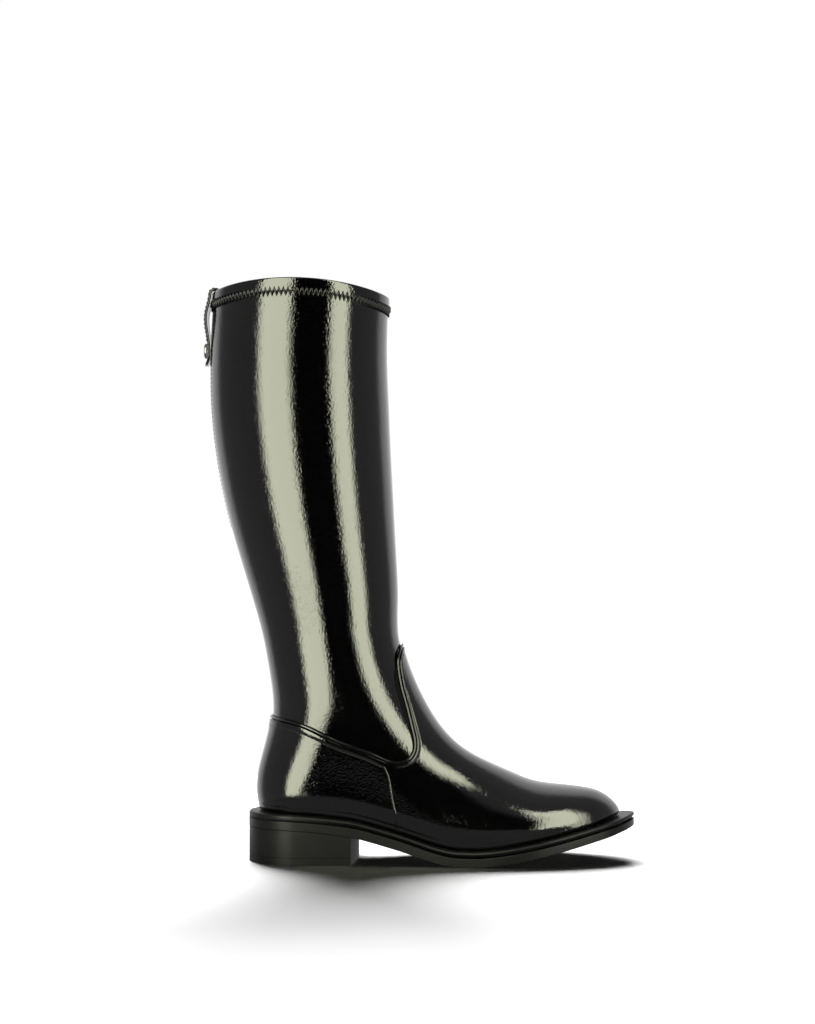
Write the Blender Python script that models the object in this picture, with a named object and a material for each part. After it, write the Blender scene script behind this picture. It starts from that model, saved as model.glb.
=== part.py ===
"""A knee-high patent leather riding boot for the right foot, at real size in metres.

X runs from heel to toe, Y from the outer to the inner side of the leg and Z up from the
floor. The origin is the middle of the heel's floor face. The upper is lasted over one
form, which the shaft and the insole follow too, so every piece is read from that form.
"""

import math
from collections import namedtuple

import bmesh
import bpy
import numpy as np

for leftover in list(bpy.data.objects):
    bpy.data.objects.remove(leftover, do_unlink=True)

# Sole: its length and its breadth across the ball give the plan
SOLE_LENGTH = 0.272
BALL_BREADTH = 0.093
HEEL_CURVE = 0.033
TOE_CURVE = 0.024
HEEL_RISE = 0.0244
TOE_SPRING = 0.0239
OUTSOLE_THICKNESS = 0.006
GROOVE_HEIGHT = 0.0014
GROOVE_DEPTH = 0.0016
BEAD_HEIGHT = 0.003
SOLE_EDGE_ROUND = 0.0008

# Heel block and its top lift
HEEL_LENGTH = 0.0724
BREAST_SLANT = 0.0045
BREAST_BULGE = 0.0019
LIFT_HEIGHT = 0.0052
HEEL_INSET = 0.0005

# Last, with the leg above it
ANKLE_RISE = 0.1197
ANKLE_DEPTH = 0.0957
ANKLE_BREADTH = 0.077
ANKLE_MIDDLE = 0.05795
BOOT_HEIGHT = 0.405
COLLAR_DEPTH = 0.124
COLLAR_BREADTH = 0.104
COLLAR_BACK_DROP = 0.0055
COLLAR_FRONT_DROP = 0.009
SHAFT_LEAN = 0.021
HEEL_SETBACK = 0.0098
TOE_SETBACK = 0.0111
WELT_LEDGE = 0.0065
SWELL = 0.003
SWELL_HEIGHT = 0.016

# Walls and what joins them
UPPER_WALL = 0.0018
SHAFT_WALL = 0.0016
INSOLE_THICKNESS = 0.0024
INSOLE_LIFT = 0.00045
CLEARANCE = 0.0003
SEAM_LAP = 0.008
SKIRT_CLEAR = 0.012
SKIVE = 0.0006
TURN_UNDER = 0.011
INSOLE_EASE = 0.0014
LINING_EASE = 0.0004
TURN_ROUND = 0.004
EDGE_BACK_RISE = 0.0643
EDGE_PEAK_RISE = 0.1145
PIPING_RADIUS = 0.0008
PIPING_CLEARANCE = 0.00065
BAND_HEIGHT = 0.0098
BAND_STEP = 0.0008

# Pull tab at the back of the collar
TAB_WIDTH = 0.022
TAB_THICKNESS = 0.0022
TAB_OUTSIDE = 0.054
TAB_INSIDE = 0.026
TAB_LIFT_OUT = 0.0035
TAB_LIFT_IN = 0.0016
TAB_BOW_DROP = 0.017
TAB_BOW_BACK = 0.0021
TAB_TURN = 0.0012
TAB_CLEAR = 0.0009
TAB_END = 0.001
TAB_FLARE = 0.0012
TAB_FLARE_RUN = 0.005
STUD_RADIUS = 0.0054
STUD_HEIGHT = 0.002
STUD_DROP = 0.041

# Where the foot's breadth passes into the leg's, as shares of ANKLE_RISE above the feather
PASSING_START = 0.1
PASSING_SPAN = 0.65

# How finely the skins are faceted, and how far their rows bend onto the two outlines
SIDE_STEPS = 28
SOLE_STEPS = 40
UPPER_LEVELS = 14
SKIRT_LEVELS = 6
LEG_LEVELS = 10
EDGE_TURN = 0.62
HEEL_STEPS = 14
BREAST_STEPS = 6
BEAD_STEPS = 4
TURN_STEPS = 3
TAB_OUTER_STEPS = 14
TAB_INNER_STEPS = 8
TAB_ARCH_STEPS = 9
TAB_SIDE_STEPS = 5
STUD_SIDES = 20
LINE_POINTS = 400
NOSE_POINTS = 40
WELT_CROWDING = 1.5
FOOT_GRIP = 3
LEG_GRIP = 1

# Underside of the sole: height as shares of HEEL_RISE and TOE_SPRING, and thickness
Underside = namedtuple("Underside", "along heel toe thickness")
UNDERSIDE = (
    Underside(along=0.0, heel=1.0, toe=0.0, thickness=1.04),
    Underside(along=0.08, heel=0.995, toe=0.0, thickness=1.04),
    Underside(along=0.14, heel=0.965, toe=0.0, thickness=1.04),
    Underside(along=0.20, heel=0.90, toe=0.0, thickness=1.06),
    Underside(along=0.266, heel=0.795, toe=0.0, thickness=1.10),
    Underside(along=0.352, heel=0.545, toe=0.0, thickness=1.12),
    Underside(along=0.412, heel=0.345, toe=0.0, thickness=1.12),
    Underside(along=0.452, heel=0.20, toe=0.0, thickness=1.10),
    Underside(along=0.485, heel=0.092, toe=0.0, thickness=1.08),
    Underside(along=0.515, heel=0.026, toe=0.0, thickness=1.06),
    Underside(along=0.537, heel=0.0, toe=0.0, thickness=1.05),
    Underside(along=0.580, heel=0.0, toe=0.0, thickness=1.03),
    Underside(along=0.605, heel=0.0, toe=0.022, thickness=1.02),
    Underside(along=0.640, heel=0.0, toe=0.072, thickness=1.0),
    Underside(along=0.697, heel=0.0, toe=0.178, thickness=1.0),
    Underside(along=0.801, heel=0.0, toe=0.425, thickness=0.97),
    Underside(along=0.896, heel=0.0, toe=0.69, thickness=0.91),
    Underside(along=1.0, heel=0.0, toe=1.0, thickness=0.80),
)

# Plan: outer and inner edge and middle line as shares of BALL_BREADTH, swell of the upper
Plan = namedtuple("Plan", "along outer inner middle outer_swell inner_swell")
PLAN = (
    Plan(along=0.0, outer=0.333, inner=0.333, middle=0.0, outer_swell=1.5, inner_swell=1.5),
    Plan(along=0.13, outer=0.355, inner=0.355, middle=0.0, outer_swell=1.7, inner_swell=1.6),
    Plan(along=0.265, outer=0.355, inner=0.333, middle=0.0, outer_swell=2.0, inner_swell=2.2),
    Plan(along=0.386, outer=0.372, inner=0.290, middle=0.0, outer_swell=2.2, inner_swell=3.2),
    Plan(along=0.515, outer=0.428, inner=0.350, middle=0.005, outer_swell=1.6, inner_swell=2.2),
    Plan(along=0.625, outer=0.476, inner=0.458, middle=0.013, outer_swell=1.1, inner_swell=1.2),
    Plan(along=0.70, outer=0.484, inner=0.511, middle=0.022, outer_swell=1.0, inner_swell=1.0),
    Plan(along=0.78, outer=0.441, inner=0.500, middle=0.032, outer_swell=0.9, inner_swell=0.9),
    Plan(along=0.853, outer=0.366, inner=0.446, middle=0.045, outer_swell=0.8, inner_swell=0.8),
    Plan(along=0.926, outer=0.269, inner=0.366, middle=0.059, outer_swell=0.7, inner_swell=0.7),
    Plan(along=1.0, outer=0.161, inner=0.280, middle=0.070, outer_swell=0.6, inner_swell=0.6),
)

# Back of the heel: height as a share of ANKLE_RISE, hollow and rounding of ANKLE_DEPTH
HeelBack = namedtuple("HeelBack", "up hollow rounding")
HEEL_BACK = (
    HeelBack(up=0.0, hollow=0.0, rounding=0.29),
    HeelBack(up=0.05, hollow=-0.016, rounding=0.30),
    HeelBack(up=0.12, hollow=-0.026, rounding=0.315),
    HeelBack(up=0.20, hollow=-0.021, rounding=0.335),
    HeelBack(up=0.325, hollow=0.013, rounding=0.38),
    HeelBack(up=0.466, hollow=0.056, rounding=0.43),
    HeelBack(up=0.591, hollow=0.073, rounding=0.465),
    HeelBack(up=0.714, hollow=0.062, rounding=0.485),
    HeelBack(up=0.856, hollow=0.034, rounding=0.495),
)

# Ridge of the vamp: way from ankle to toe tip, rise and rounding of ANKLE_RISE and DEPTH
Ridge = namedtuple("Ridge", "way rise rounding")
RIDGE = (
    Ridge(way=0.009, rise=1.064, rounding=0.50),
    Ridge(way=0.0535, rise=0.909, rounding=0.51),
    Ridge(way=0.107, rise=0.786, rounding=0.52),
    Ridge(way=0.177, rise=0.668, rounding=0.53),
    Ridge(way=0.291, rise=0.542, rounding=0.52),
    Ridge(way=0.3875, rise=0.469, rounding=0.48),
    Ridge(way=0.507, rise=0.379, rounding=0.40),
    Ridge(way=0.623, rise=0.296, rounding=0.32),
    Ridge(way=0.754, rise=0.238, rounding=0.25),
    Ridge(way=0.867, rise=0.184, rounding=0.205),
    Ridge(way=1.0, rise=0.114, rounding=0.157),
)

# Shaft: way up from ankle to collar, lean of SHAFT_LEAN, spread from ankle to collar size
Leg = namedtuple("Leg", "up lean spread")
LEG = (
    Leg(up=0.0, lean=0.0, spread=0.0),
    Leg(up=0.112, lean=0.20, spread=0.24),
    Leg(up=0.203, lean=0.381, spread=0.459),
    Leg(up=0.294, lean=0.574, spread=0.654),
    Leg(up=0.385, lean=0.740, spread=0.816),
    Leg(up=0.475, lean=0.876, spread=0.933),
    Leg(up=0.566, lean=0.986, spread=1.018),
    Leg(up=0.657, lean=1.060, spread=1.065),
    Leg(up=0.748, lean=1.100, spread=1.055),
    Leg(up=0.86, lean=1.085, spread=1.02),
    Leg(up=1.0, lean=1.0, spread=1.0),
)

# Top edge of the upper between its back and its peak, as shares of SOLE_LENGTH and of the
# peak's rise, and how far the shaft runs on under it as a share of SEAM_LAP
EdgeLine = namedtuple("EdgeLine", "along rise lap")
EDGE_LINE = (
    EdgeLine(along=0.138, rise=0.527, lap=1),
    EdgeLine(along=0.242, rise=0.421, lap=1),
    EdgeLine(along=0.322, rise=0.352, lap=1),
    EdgeLine(along=0.386, rise=0.303, lap=1),
    EdgeLine(along=0.4195, rise=0.330, lap=0.9),
    EdgeLine(along=0.4345, rise=0.392, lap=0.75),
    EdgeLine(along=0.4340, rise=0.460, lap=0.6),
    EdgeLine(along=0.4250, rise=0.550, lap=0.5),
    EdgeLine(along=0.4140, rise=0.655, lap=0.45),
    EdgeLine(along=0.4020, rise=0.755, lap=0.35),
    EdgeLine(along=0.3935, rise=0.860, lap=0.3),
    EdgeLine(along=0.3925, rise=0.945, lap=0.25),
)

# The stud's low dome: how far out each ring lies as a share of its height, and its radius
Dome = namedtuple("Dome", "out radius")
DOME = (
    Dome(out=0.0, radius=1.0),
    Dome(out=0.45, radius=1.0),
    Dome(out=0.75, radius=0.9),
    Dome(out=0.93, radius=0.66),
    Dome(out=1.0, radius=0.3),
)

HEEL_CENTRE = HEEL_LENGTH / 2


def natural(knots, values):
    """The natural cubic through the values, as a function that runs straight past its ends."""
    knots, values = np.asarray(knots, float), np.asarray(values, float)
    gaps = np.diff(knots)
    system = np.eye(len(knots))
    right = np.zeros(len(knots))
    for i in range(1, len(knots) - 1):
        system[i, i - 1 : i + 2] = gaps[i - 1], 2 * (gaps[i - 1] + gaps[i]), gaps[i]
        slopes = np.diff(values[i - 1 : i + 2]) / gaps[i - 1 : i + 1]
        right[i] = 6 * (slopes[1] - slopes[0])
    bends = np.linalg.solve(system, right)

    def at(where):
        where = np.asarray(where, float)
        i = np.clip(np.searchsorted(knots, where) - 1, 0, len(gaps) - 1)
        inside = np.clip(where, knots[0], knots[-1])
        a, b, gap = knots[i + 1] - inside, inside - knots[i], gaps[i]
        slope = (values[i + 1] - values[i]) / gap
        value = (bends[i] * a**3 + bends[i + 1] * b**3) / (6 * gap)
        value += (values[i] / gap - bends[i] * gap / 6) * a
        value += (values[i + 1] / gap - bends[i + 1] * gap / 6) * b
        slope += (bends[i + 1] * (3 * b**2 - gap**2) - bends[i] * (3 * a**2 - gap**2)) / (6 * gap)
        return value + slope * (where - inside)

    return at


def level(knots, values):
    """A cubic through the values that never overshoots, so that equal values stay level."""
    knots, values = np.asarray(knots, float), np.asarray(values, float)
    gaps = np.diff(knots)
    steps = np.diff(values) / gaps
    slopes = np.concatenate([steps[:1], np.zeros(len(steps) - 1), steps[-1:]])
    rising = steps[:-1] * steps[1:] > 0
    inner = np.zeros(len(rising))
    inner[rising] = 2 * steps[:-1][rising] * steps[1:][rising] / (steps[:-1] + steps[1:])[rising]
    slopes[1:-1] = inner

    def at(where):
        where = np.clip(np.asarray(where, float), knots[0], knots[-1])
        i = np.clip(np.searchsorted(knots, where) - 1, 0, len(gaps) - 1)
        t = (where - knots[i]) / gaps[i]
        rise = values[i + 1] - values[i]
        ends = slopes[i] * (t**3 - 2 * t**2 + t) + slopes[i + 1] * (t**3 - t**2)
        return values[i] + rise * (3 * t**2 - 2 * t**3) + gaps[i] * ends

    return at


def along_line(line, share):
    """Points at shares of a polyline's length."""
    run = np.concatenate([[0.0], np.cumsum(np.hypot(*np.diff(line[:, :2], axis=0).T))])
    return np.stack([np.interp(np.asarray(share) * run[-1], run, c) for c in line.T], axis=1)


def column(table, name):
    return [getattr(row, name) for row in table]


def eased(value):
    value = np.clip(value, 0.0, 1.0)
    return value * value * (3 - 2 * value)


def cosine_steps(count):
    """Shares from 0 to 1 that crowd at both ends, where a rounded side turns."""
    return (1 - np.cos(np.linspace(0.0, math.pi, count + 1))) / 2


# Heights of the sole's layers over the plan
sole_stations = [row.along * SOLE_LENGTH for row in UNDERSIDE]
underside = level(sole_stations, [r.heel * HEEL_RISE + r.toe * TOE_SPRING for r in UNDERSIDE])
outsole_depth = level(sole_stations, [r.thickness * OUTSOLE_THICKNESS for r in UNDERSIDE])


def outsole_top(x):
    return underside(x) + outsole_depth(x)


def welt_top(x):
    return outsole_top(x) + GROOVE_HEIGHT + BEAD_HEIGHT


def feather(x):
    """Height of the upper's underside where it rests on the welt."""
    return welt_top(x) + CLEARANCE


plan_stations = [row.along * SOLE_LENGTH for row in PLAN]
outer_edge = natural(plan_stations, [row.outer * BALL_BREADTH for row in PLAN])
inner_edge = natural(plan_stations, [row.inner * BALL_BREADTH for row in PLAN])
middle = level(plan_stations, [row.middle * BALL_BREADTH for row in PLAN])
outer_swell = level(plan_stations, [row.outer_swell * SWELL for row in PLAN])
inner_swell = level(plan_stations, [row.inner_swell * SWELL for row in PLAN])

SEAT = float(feather(HEEL_SETBACK))
ANKLE = SEAT + ANKLE_RISE
LEG_LENGTH = BOOT_HEIGHT - ANKLE
ANKLE_FRONT = ANKLE_MIDDLE + ANKLE_DEPTH / 2
ANKLE_BACK = ANKLE_MIDDLE - ANKLE_DEPTH / 2
TOE_TIP = SOLE_LENGTH - TOE_SETBACK


def leg_rows():
    """Height, middle, half depth and half breadth of the leg's rows, from the ankle up."""
    for row in LEG:
        depth = ANKLE_DEPTH + row.spread * (COLLAR_DEPTH - ANKLE_DEPTH)
        yield ANKLE + row.up * LEG_LENGTH, ANKLE_MIDDLE - row.lean * SHAFT_LEAN, depth / 2


leg_heights = [height for height, _, _ in leg_rows()]
leg_breadth = natural(
    leg_heights,
    [(ANKLE_BREADTH + row.spread * (COLLAR_BREADTH - ANKLE_BREADTH)) / 2 for row in LEG],
)


def back_line():
    """The form's back from the feather to the collar: x, z and how deep it rounds."""
    heel = [
        (
            HEEL_SETBACK + row.up * (ANKLE_BACK - HEEL_SETBACK) + row.hollow * ANKLE_DEPTH,
            SEAT + row.up * ANKLE_RISE,
            row.rounding * ANKLE_DEPTH,
        )
        for row in HEEL_BACK
    ]
    leg = [(centre - half, height, half) for height, centre, half in leg_rows()]
    return heel + leg


def ridge_line():
    """The form's front from the collar down the shin and over the vamp to the toe."""
    leg = [(centre + half, height, half) for height, centre, half in leg_rows()]
    vamp = []
    for row in RIDGE:
        x = ANKLE_FRONT + row.way * (TOE_TIP - ANKLE_FRONT)
        vamp.append((x, float(feather(x)) + row.rise * ANKLE_RISE, row.rounding * ANKLE_DEPTH))
    return leg[::-1] + vamp


def smooth_line(rows):
    """The rows as a fine line of x, z and rounding."""
    rows = np.asarray(rows)
    run = np.concatenate([[0.0], np.cumsum(np.hypot(*np.diff(rows[:, :2], axis=0).T))])
    fine = np.linspace(0.0, run[-1], LINE_POINTS)
    return np.stack([natural(run, values)(fine) for values in rows.T], axis=1)


def moved_line(line, outset):
    """The line moved square to itself, out of the form."""
    ways = np.gradient(line[:, :2], axis=0)
    ways /= np.hypot(*ways.T)[:, None]
    moved = line.copy()
    moved[:, 0] -= outset * ways[:, 1]
    moved[:, 1] += outset * ways[:, 0]
    moved[:, 2] += outset
    return moved


BACK_LINE = smooth_line(back_line())
RIDGE_LINE = smooth_line(ridge_line())


class Skin:
    """The surface that lies a set distance outside the form, read over the side view."""

    def __init__(self, outset):
        self.outset = outset
        self.back = moved_line(BACK_LINE, outset)
        self.ridge = moved_line(RIDGE_LINE, outset)
        self.tip = TOE_TIP + outset
        self.nose = TOE_CURVE - WELT_LEDGE / 2 + outset

    @staticmethod
    def nearness(points, line):
        """1 on the line, falling to 0 where the rounding behind it ends."""
        starts, ways = line[:-1, :2], np.diff(line[:, :2], axis=0)
        offsets = points[:, None, :] - starts[None]
        shares = np.clip((offsets * ways).sum(2) / (ways**2).sum(1), 0.0, 1.0)
        gaps = np.linalg.norm(offsets - shares[..., None] * ways, axis=2)
        nearest = gaps.argmin(axis=1)
        rows = np.arange(len(points))
        depth = line[nearest, 2]
        return np.clip(1 - gaps[rows, nearest] / depth, 0.0, 1.0)

    def sides(self, path):
        """The outer and inner y of side-view points, both on the middle line at the ends."""
        x, z = path[:, 0], path[:, 1]
        toe = np.clip(1 - (self.tip - x) / self.nose, 0.0, 1.0)
        near = self.nearness(path, self.back) ** 2 + self.nearness(path, self.ridge) ** 2
        round_off = np.sqrt(np.clip(1 - near - toe**2, 0.0, 1.0))
        round_off[[0, -1]] = 0.0
        above = z - feather(x)
        ankle_share = eased((above / ANKLE_RISE - PASSING_START) / PASSING_SPAN)
        swelling = np.sin(np.clip(above / SWELL_HEIGHT, 0.0, 1.0) * math.pi / 2)
        halves = []
        for edge, swell in ((outer_edge, outer_swell), (inner_edge, inner_swell)):
            foot = edge(x) - WELT_LEDGE - UPPER_WALL - CLEARANCE + swell(x) * swelling
            leg = leg_breadth(np.maximum(z, ANKLE))
            halves.append(foot + ankle_share * (leg - foot) + self.outset)
        centre = middle(x)
        outer = centre - (halves[0] + centre) * round_off
        inner = centre + (halves[1] - centre) * round_off
        return outer, inner

    def ring(self, path):
        """A closed ring of points: up the outer side to the front, back down the inner side."""
        outer, inner = self.sides(path)
        there = [(x, y, z) for (x, z), y in zip(path, outer)]
        back = [(x, y, z) for (x, z), y in zip(path, inner)]
        return there + back[-2:0:-1]

    def back_at(self, height):
        return np.array([np.interp(height, self.back[:, 1], self.back[:, 0]), height])

    def front_at(self, height):
        return np.array([np.interp(height, self.ridge[::-1, 1], self.ridge[::-1, 0]), height])

    def front_line(self, start, peak):
        """The front outline from one height at the toe's tip over the vamp to another."""
        vamp = self.ridge[self.ridge[:, 1] < ANKLE]
        turn = np.linspace(0.0, math.pi / 2, NOSE_POINTS)
        x = self.tip - self.nose * (1 - np.cos(turn))
        depth = np.interp(x, vamp[:, 0], vamp[:, 2])
        heights = np.interp(x, vamp[:, 0], vamp[:, 1]) - depth * (1 - np.sin(turn))
        nose = np.stack([x, heights], axis=1)
        first = [np.interp(start, heights, x), start]
        over = vamp[::-1, :2]
        over = over[(over[:, 0] < x[-1]) & (over[:, 1] < peak)]
        return np.concatenate([[first], nose[heights > start], over, [self.front_at(peak)]])

    def edge_path(self, shares, move=0.0):
        """The upper's top edge over the side view, or a line beside it, below it if negative."""
        rows = [(row.along * SOLE_LENGTH, SEAT + row.rise * EDGE_PEAK_RISE) for row in EDGE_LINE]
        start, end = self.back_at(SEAT + EDGE_BACK_RISE), self.front_at(SEAT + EDGE_PEAK_RISE)
        rows = np.array([start, *rows, end])
        laps = np.array([1.0, *column(EDGE_LINE, "lap"), 1.0]) if move < 0 else np.ones(len(rows))
        ways = np.gradient(rows, axis=0)
        ways /= np.hypot(*ways.T)[:, None]
        rows = rows + (move * laps)[:, None] * np.stack([-ways[:, 1], ways[:, 0]], axis=1)
        rows[0] = self.back_at(SEAT + EDGE_BACK_RISE + move)
        rows[-1] = self.front_at(SEAT + EDGE_PEAK_RISE + move)
        run = np.concatenate([[0.0], np.cumsum(np.hypot(*np.diff(rows, axis=0).T))])
        corner = run[1 + [row.rise for row in EDGE_LINE].index(min(column(EDGE_LINE, "rise")))]
        where = np.interp(shares, [0.0, EDGE_TURN, 1.0], [0.0, corner, run[-1]])
        return np.stack([natural(run, values)(where) for values in rows.T], axis=1)


def paths_between(bottom, top, backs, fronts, levels, shares, grip):
    """Side-view paths from a bottom to a top path, bent near their ends onto two outlines."""
    for level_share, back, front in zip(levels, backs, fronts):
        path = (1 - level_share) * bottom + level_share * top
        to_back, to_front = back - path[0], front - path[-1]
        path = path + np.outer((1 - shares) ** grip, to_back) + np.outer(shares**grip, to_front)
        yield path


def upper_rings(skin, levels, shares):
    """Rings of the upper from just above the welt to its top edge."""
    low = SEAT + TURN_ROUND
    front = skin.front_line(float(feather(skin.tip)) + TURN_ROUND, SEAT + EDGE_PEAK_RISE)
    heel = skin.back_at(low)[0]
    x = heel + shares * (front[0, 0] - heel)
    bottom = np.stack([x, feather(x) + TURN_ROUND], axis=1)
    backs = [skin.back_at(height) for height in low + levels * (EDGE_BACK_RISE - TURN_ROUND)]
    fronts = along_line(front, levels)
    paths = paths_between(bottom, skin.edge_path(shares), backs, fronts, levels, shares, FOOT_GRIP)
    return [skin.ring(path) for path in paths]


def collar_path(skin, drop, shares):
    """The topline of the shaft, or a line a set drop below it."""
    dip = 2 * (COLLAR_BACK_DROP + COLLAR_FRONT_DROP) * (shares - 0.5) ** 2
    dip += (COLLAR_FRONT_DROP - COLLAR_BACK_DROP) * (shares - 0.5)
    heights = BOOT_HEIGHT - dip - drop
    start, end = skin.back_at(heights[0])[0], skin.front_at(heights[-1])[0]
    return np.stack([start + shares * (end - start), heights], axis=1)


def shaft_rings(skin, shares, drop):
    """Rings of the shaft from under the upper's edge to a line below the topline."""
    skirt_top = SEAT + EDGE_PEAK_RISE + SKIRT_CLEAR
    start, end = skin.back_at(skirt_top), skin.front_at(skirt_top)
    waist = start + shares[:, None] * (end - start)
    lap = skin.edge_path(shares, -SEAM_LAP)
    levels = np.linspace(0.0, 1.0, SKIRT_LEVELS + 1)
    backs = [skin.back_at(height) for height in np.linspace(lap[0, 1], skirt_top, len(levels))]
    fronts = [skin.front_at(height) for height in np.linspace(lap[-1, 1], skirt_top, len(levels))]
    skirt = paths_between(lap, waist, backs, fronts, levels, shares, FOOT_GRIP)
    collar = collar_path(skin, drop, shares)
    levels = np.linspace(0.0, 1.0, LEG_LEVELS + 1)[1:]
    backs = [skin.back_at(skirt_top + s * (collar[0, 1] - skirt_top)) for s in levels]
    fronts = [skin.front_at(skirt_top + s * (collar[-1, 1] - skirt_top)) for s in levels]
    leg = paths_between(waist, collar, backs, fronts, levels, shares, LEG_GRIP)
    thinned = Skin(skin.outset - SKIVE)
    return [thinned.ring(next(skirt)), *[skin.ring(path) for path in [*skirt, *leg]]]


def drawn_in(ring, distance, height):
    """The ring moved square to itself in plan, towards its middle, and set to a height."""
    plan = np.asarray(ring)[:, :2]
    ways = np.roll(plan, -1, axis=0) - np.roll(plan, 1, axis=0)
    ways /= np.hypot(*ways.T)[:, None]
    plan = plan + distance * np.stack([-ways[:, 1], ways[:, 0]], axis=1)
    return [(x, y, float(height(x))) for x, y in plan]


def plan_ring(inset, height):
    """The sole's outline drawn in by an inset, outer side first, at a height over x."""
    x = inset + cosine_steps(SOLE_STEPS) * (SOLE_LENGTH - 2 * inset)
    heel = np.clip(1 - (x - inset) / (HEEL_CURVE - inset), 0.0, 1.0)
    toe = np.clip(1 - (SOLE_LENGTH - inset - x) / (TOE_CURVE - inset), 0.0, 1.0)
    return two_sides(x, x, inset, heel, toe, height)


def two_sides(x_outer, x_inner, inset, heel, toe, height):
    """A ring that runs up the outer side of the sole and back down the inner side."""
    round_off = np.sqrt(np.clip(1 - heel**2 - toe**2, 0.0, 1.0))
    outer = middle(x_outer) - (outer_edge(x_outer) - inset + middle(x_outer)) * round_off
    inner = middle(x_inner) + (inner_edge(x_inner) - inset - middle(x_inner)) * round_off
    there = [(x, y, float(height(x))) for x, y in zip(x_outer, outer)]
    back = [(x, y, float(height(x))) for x, y in zip(x_inner, inner)]
    return there + back[-2:0:-1]


def heel_ring(inset, height):
    """The heel's outline: round the back, along both sides and across the slanted breast."""
    shares = 1 - np.cos(np.linspace(0.0, math.pi / 2, HEEL_STEPS + 1))
    x_outer = inset + shares * (HEEL_LENGTH - 2 * inset)
    x_inner = inset + shares * (HEEL_LENGTH + BREAST_SLANT - 2 * inset)
    sides = []
    for x, edge, way in ((x_outer, outer_edge, -1), (x_inner, inner_edge, 1)):
        heel = np.clip(1 - (x - inset) / (HEEL_CURVE - inset), 0.0, 1.0)
        y = way * (edge(x) - inset) * np.sqrt(1 - heel**2)
        sides.append([(a, b, float(height(a))) for a, b in zip(x, y)])
    start, end = np.array(sides[0][-1]), np.array(sides[1][-1])
    breast = []
    for share in np.linspace(0.0, 1.0, BREAST_STEPS + 1)[1:-1]:
        point = start + share * (end - start)
        x = point[0] + BREAST_BULGE * 4 * share * (1 - share)
        breast.append((x, point[1], float(height(x))))
    return sides[0] + breast + sides[1][:0:-1]


def tab_path():
    """The pull tab's middle line: up outside the shaft, over the collar and down inside."""
    shaft = Skin(0.0)
    top = BOOT_HEIGHT - COLLAR_BACK_DROP
    seat = CLEARANCE + TAB_THICKNESS / 2
    turn = top - TAB_TURN
    end = top - TAB_OUTSIDE + TAB_THICKNESS
    points = []
    for height in np.linspace(end, turn, TAB_OUTER_STEPS):
        lift = TAB_LIFT_OUT * eased((height - (top - STUD_DROP)) / (STUD_DROP - TAB_BOW_DROP))
        lift -= TAB_BOW_BACK * eased((height - (top - TAB_BOW_DROP)) / (TAB_BOW_DROP - TAB_TURN))
        lift += TAB_FLARE * eased(1 - (height - end) / TAB_FLARE_RUN)
        points.append((shaft.back_at(height)[0] - seat - lift, height))
    down = []
    for height in np.linspace(turn, top - TAB_INSIDE, TAB_INNER_STEPS):
        lift = TAB_LIFT_IN * eased((height - (top - TAB_INSIDE)) / (TAB_INSIDE - TAB_TURN))
        down.append((shaft.back_at(height)[0] + SHAFT_WALL + seat + lift, height))
    centre, radius = (points[-1][0] + down[0][0]) / 2, (down[0][0] - points[-1][0]) / 2
    rise = TAB_TURN + TAB_CLEAR + TAB_THICKNESS / 2
    for angle in np.linspace(math.pi, 0.0, TAB_ARCH_STEPS)[1:-1]:
        points.append((centre + radius * math.cos(angle), turn + rise * math.sin(angle)))
    return np.array(points + down)


def tab_rings(path):
    """Cross-sections of the strap, rounded off at both of its ends and curved to the leg."""
    run = np.concatenate([[0.0], np.cumsum(np.hypot(*np.diff(path, axis=0).T))])
    ways = np.gradient(path, axis=0)
    ways /= np.hypot(*ways.T)[:, None]
    half = TAB_WIDTH / 2
    rings = []
    for (x, z), way, reach in zip(path, ways, np.minimum(run, run[-1] - run)):
        near = max(0.0, 1 - (reach + TAB_END) / half)
        width = half * math.sqrt(1 - near**2)
        faces = []
        for side in (1, -1):
            at = np.array([x, z]) + side * TAB_THICKNESS / 2 * np.array([-way[1], way[0]])
            row = []
            for y in np.linspace(-width, width, TAB_SIDE_STEPS):
                curve = COLLAR_DEPTH / 2 * (1 - math.sqrt(1 - (2 * y / COLLAR_BREADTH) ** 2))
                row.append((at[0] + curve, y, at[1]))
            faces.append(row)
        rings.append(faces[0] + faces[1][::-1])
    return rings


def stud_rings(path):
    """The stud's round sections outwards from the strap, with a low dome."""
    height = BOOT_HEIGHT - COLLAR_BACK_DROP - STUD_DROP
    outside = path[:TAB_OUTER_STEPS]
    seat = np.interp(height, outside[:, 1], outside[:, 0]) - TAB_THICKNESS / 2 - CLEARANCE
    turns = np.linspace(0.0, 2 * math.pi, STUD_SIDES, endpoint=False)
    rings = []
    for row in DOME:
        x, radius = seat - row.out * STUD_HEIGHT, row.radius * STUD_RADIUS
        rings.append([(x, radius * math.cos(a), height + radius * math.sin(a)) for a in turns])
    return rings


def material(name, colour, roughness, metallic=0.0, coat=0.0):
    made = bpy.data.materials.new(name)
    made.use_nodes = True
    shader = made.node_tree.nodes["Principled BSDF"]
    shader.inputs["Base Color"].default_value = (*colour, 1.0)
    shader.inputs["Roughness"].default_value = roughness
    shader.inputs["Metallic"].default_value = metallic
    shader.inputs["Coat Weight"].default_value = coat
    return made


def finish(name, mesh, look):
    """An object from a bmesh, with its origin at the middle of the heel's floor face."""
    bmesh.ops.translate(mesh, verts=mesh.verts, vec=(-HEEL_CENTRE, 0.0, 0.0))
    bmesh.ops.remove_doubles(mesh, verts=mesh.verts, dist=1e-6)
    bmesh.ops.recalc_face_normals(mesh, faces=mesh.faces)
    data = bpy.data.meshes.new(name)
    mesh.to_mesh(data)
    mesh.free()
    data.shade_smooth()
    data.set_sharp_from_angle(angle=math.radians(40))
    data.materials.append(look)
    made = bpy.data.objects.new(name, data)
    bpy.context.scene.collection.objects.link(made)
    return made


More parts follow.
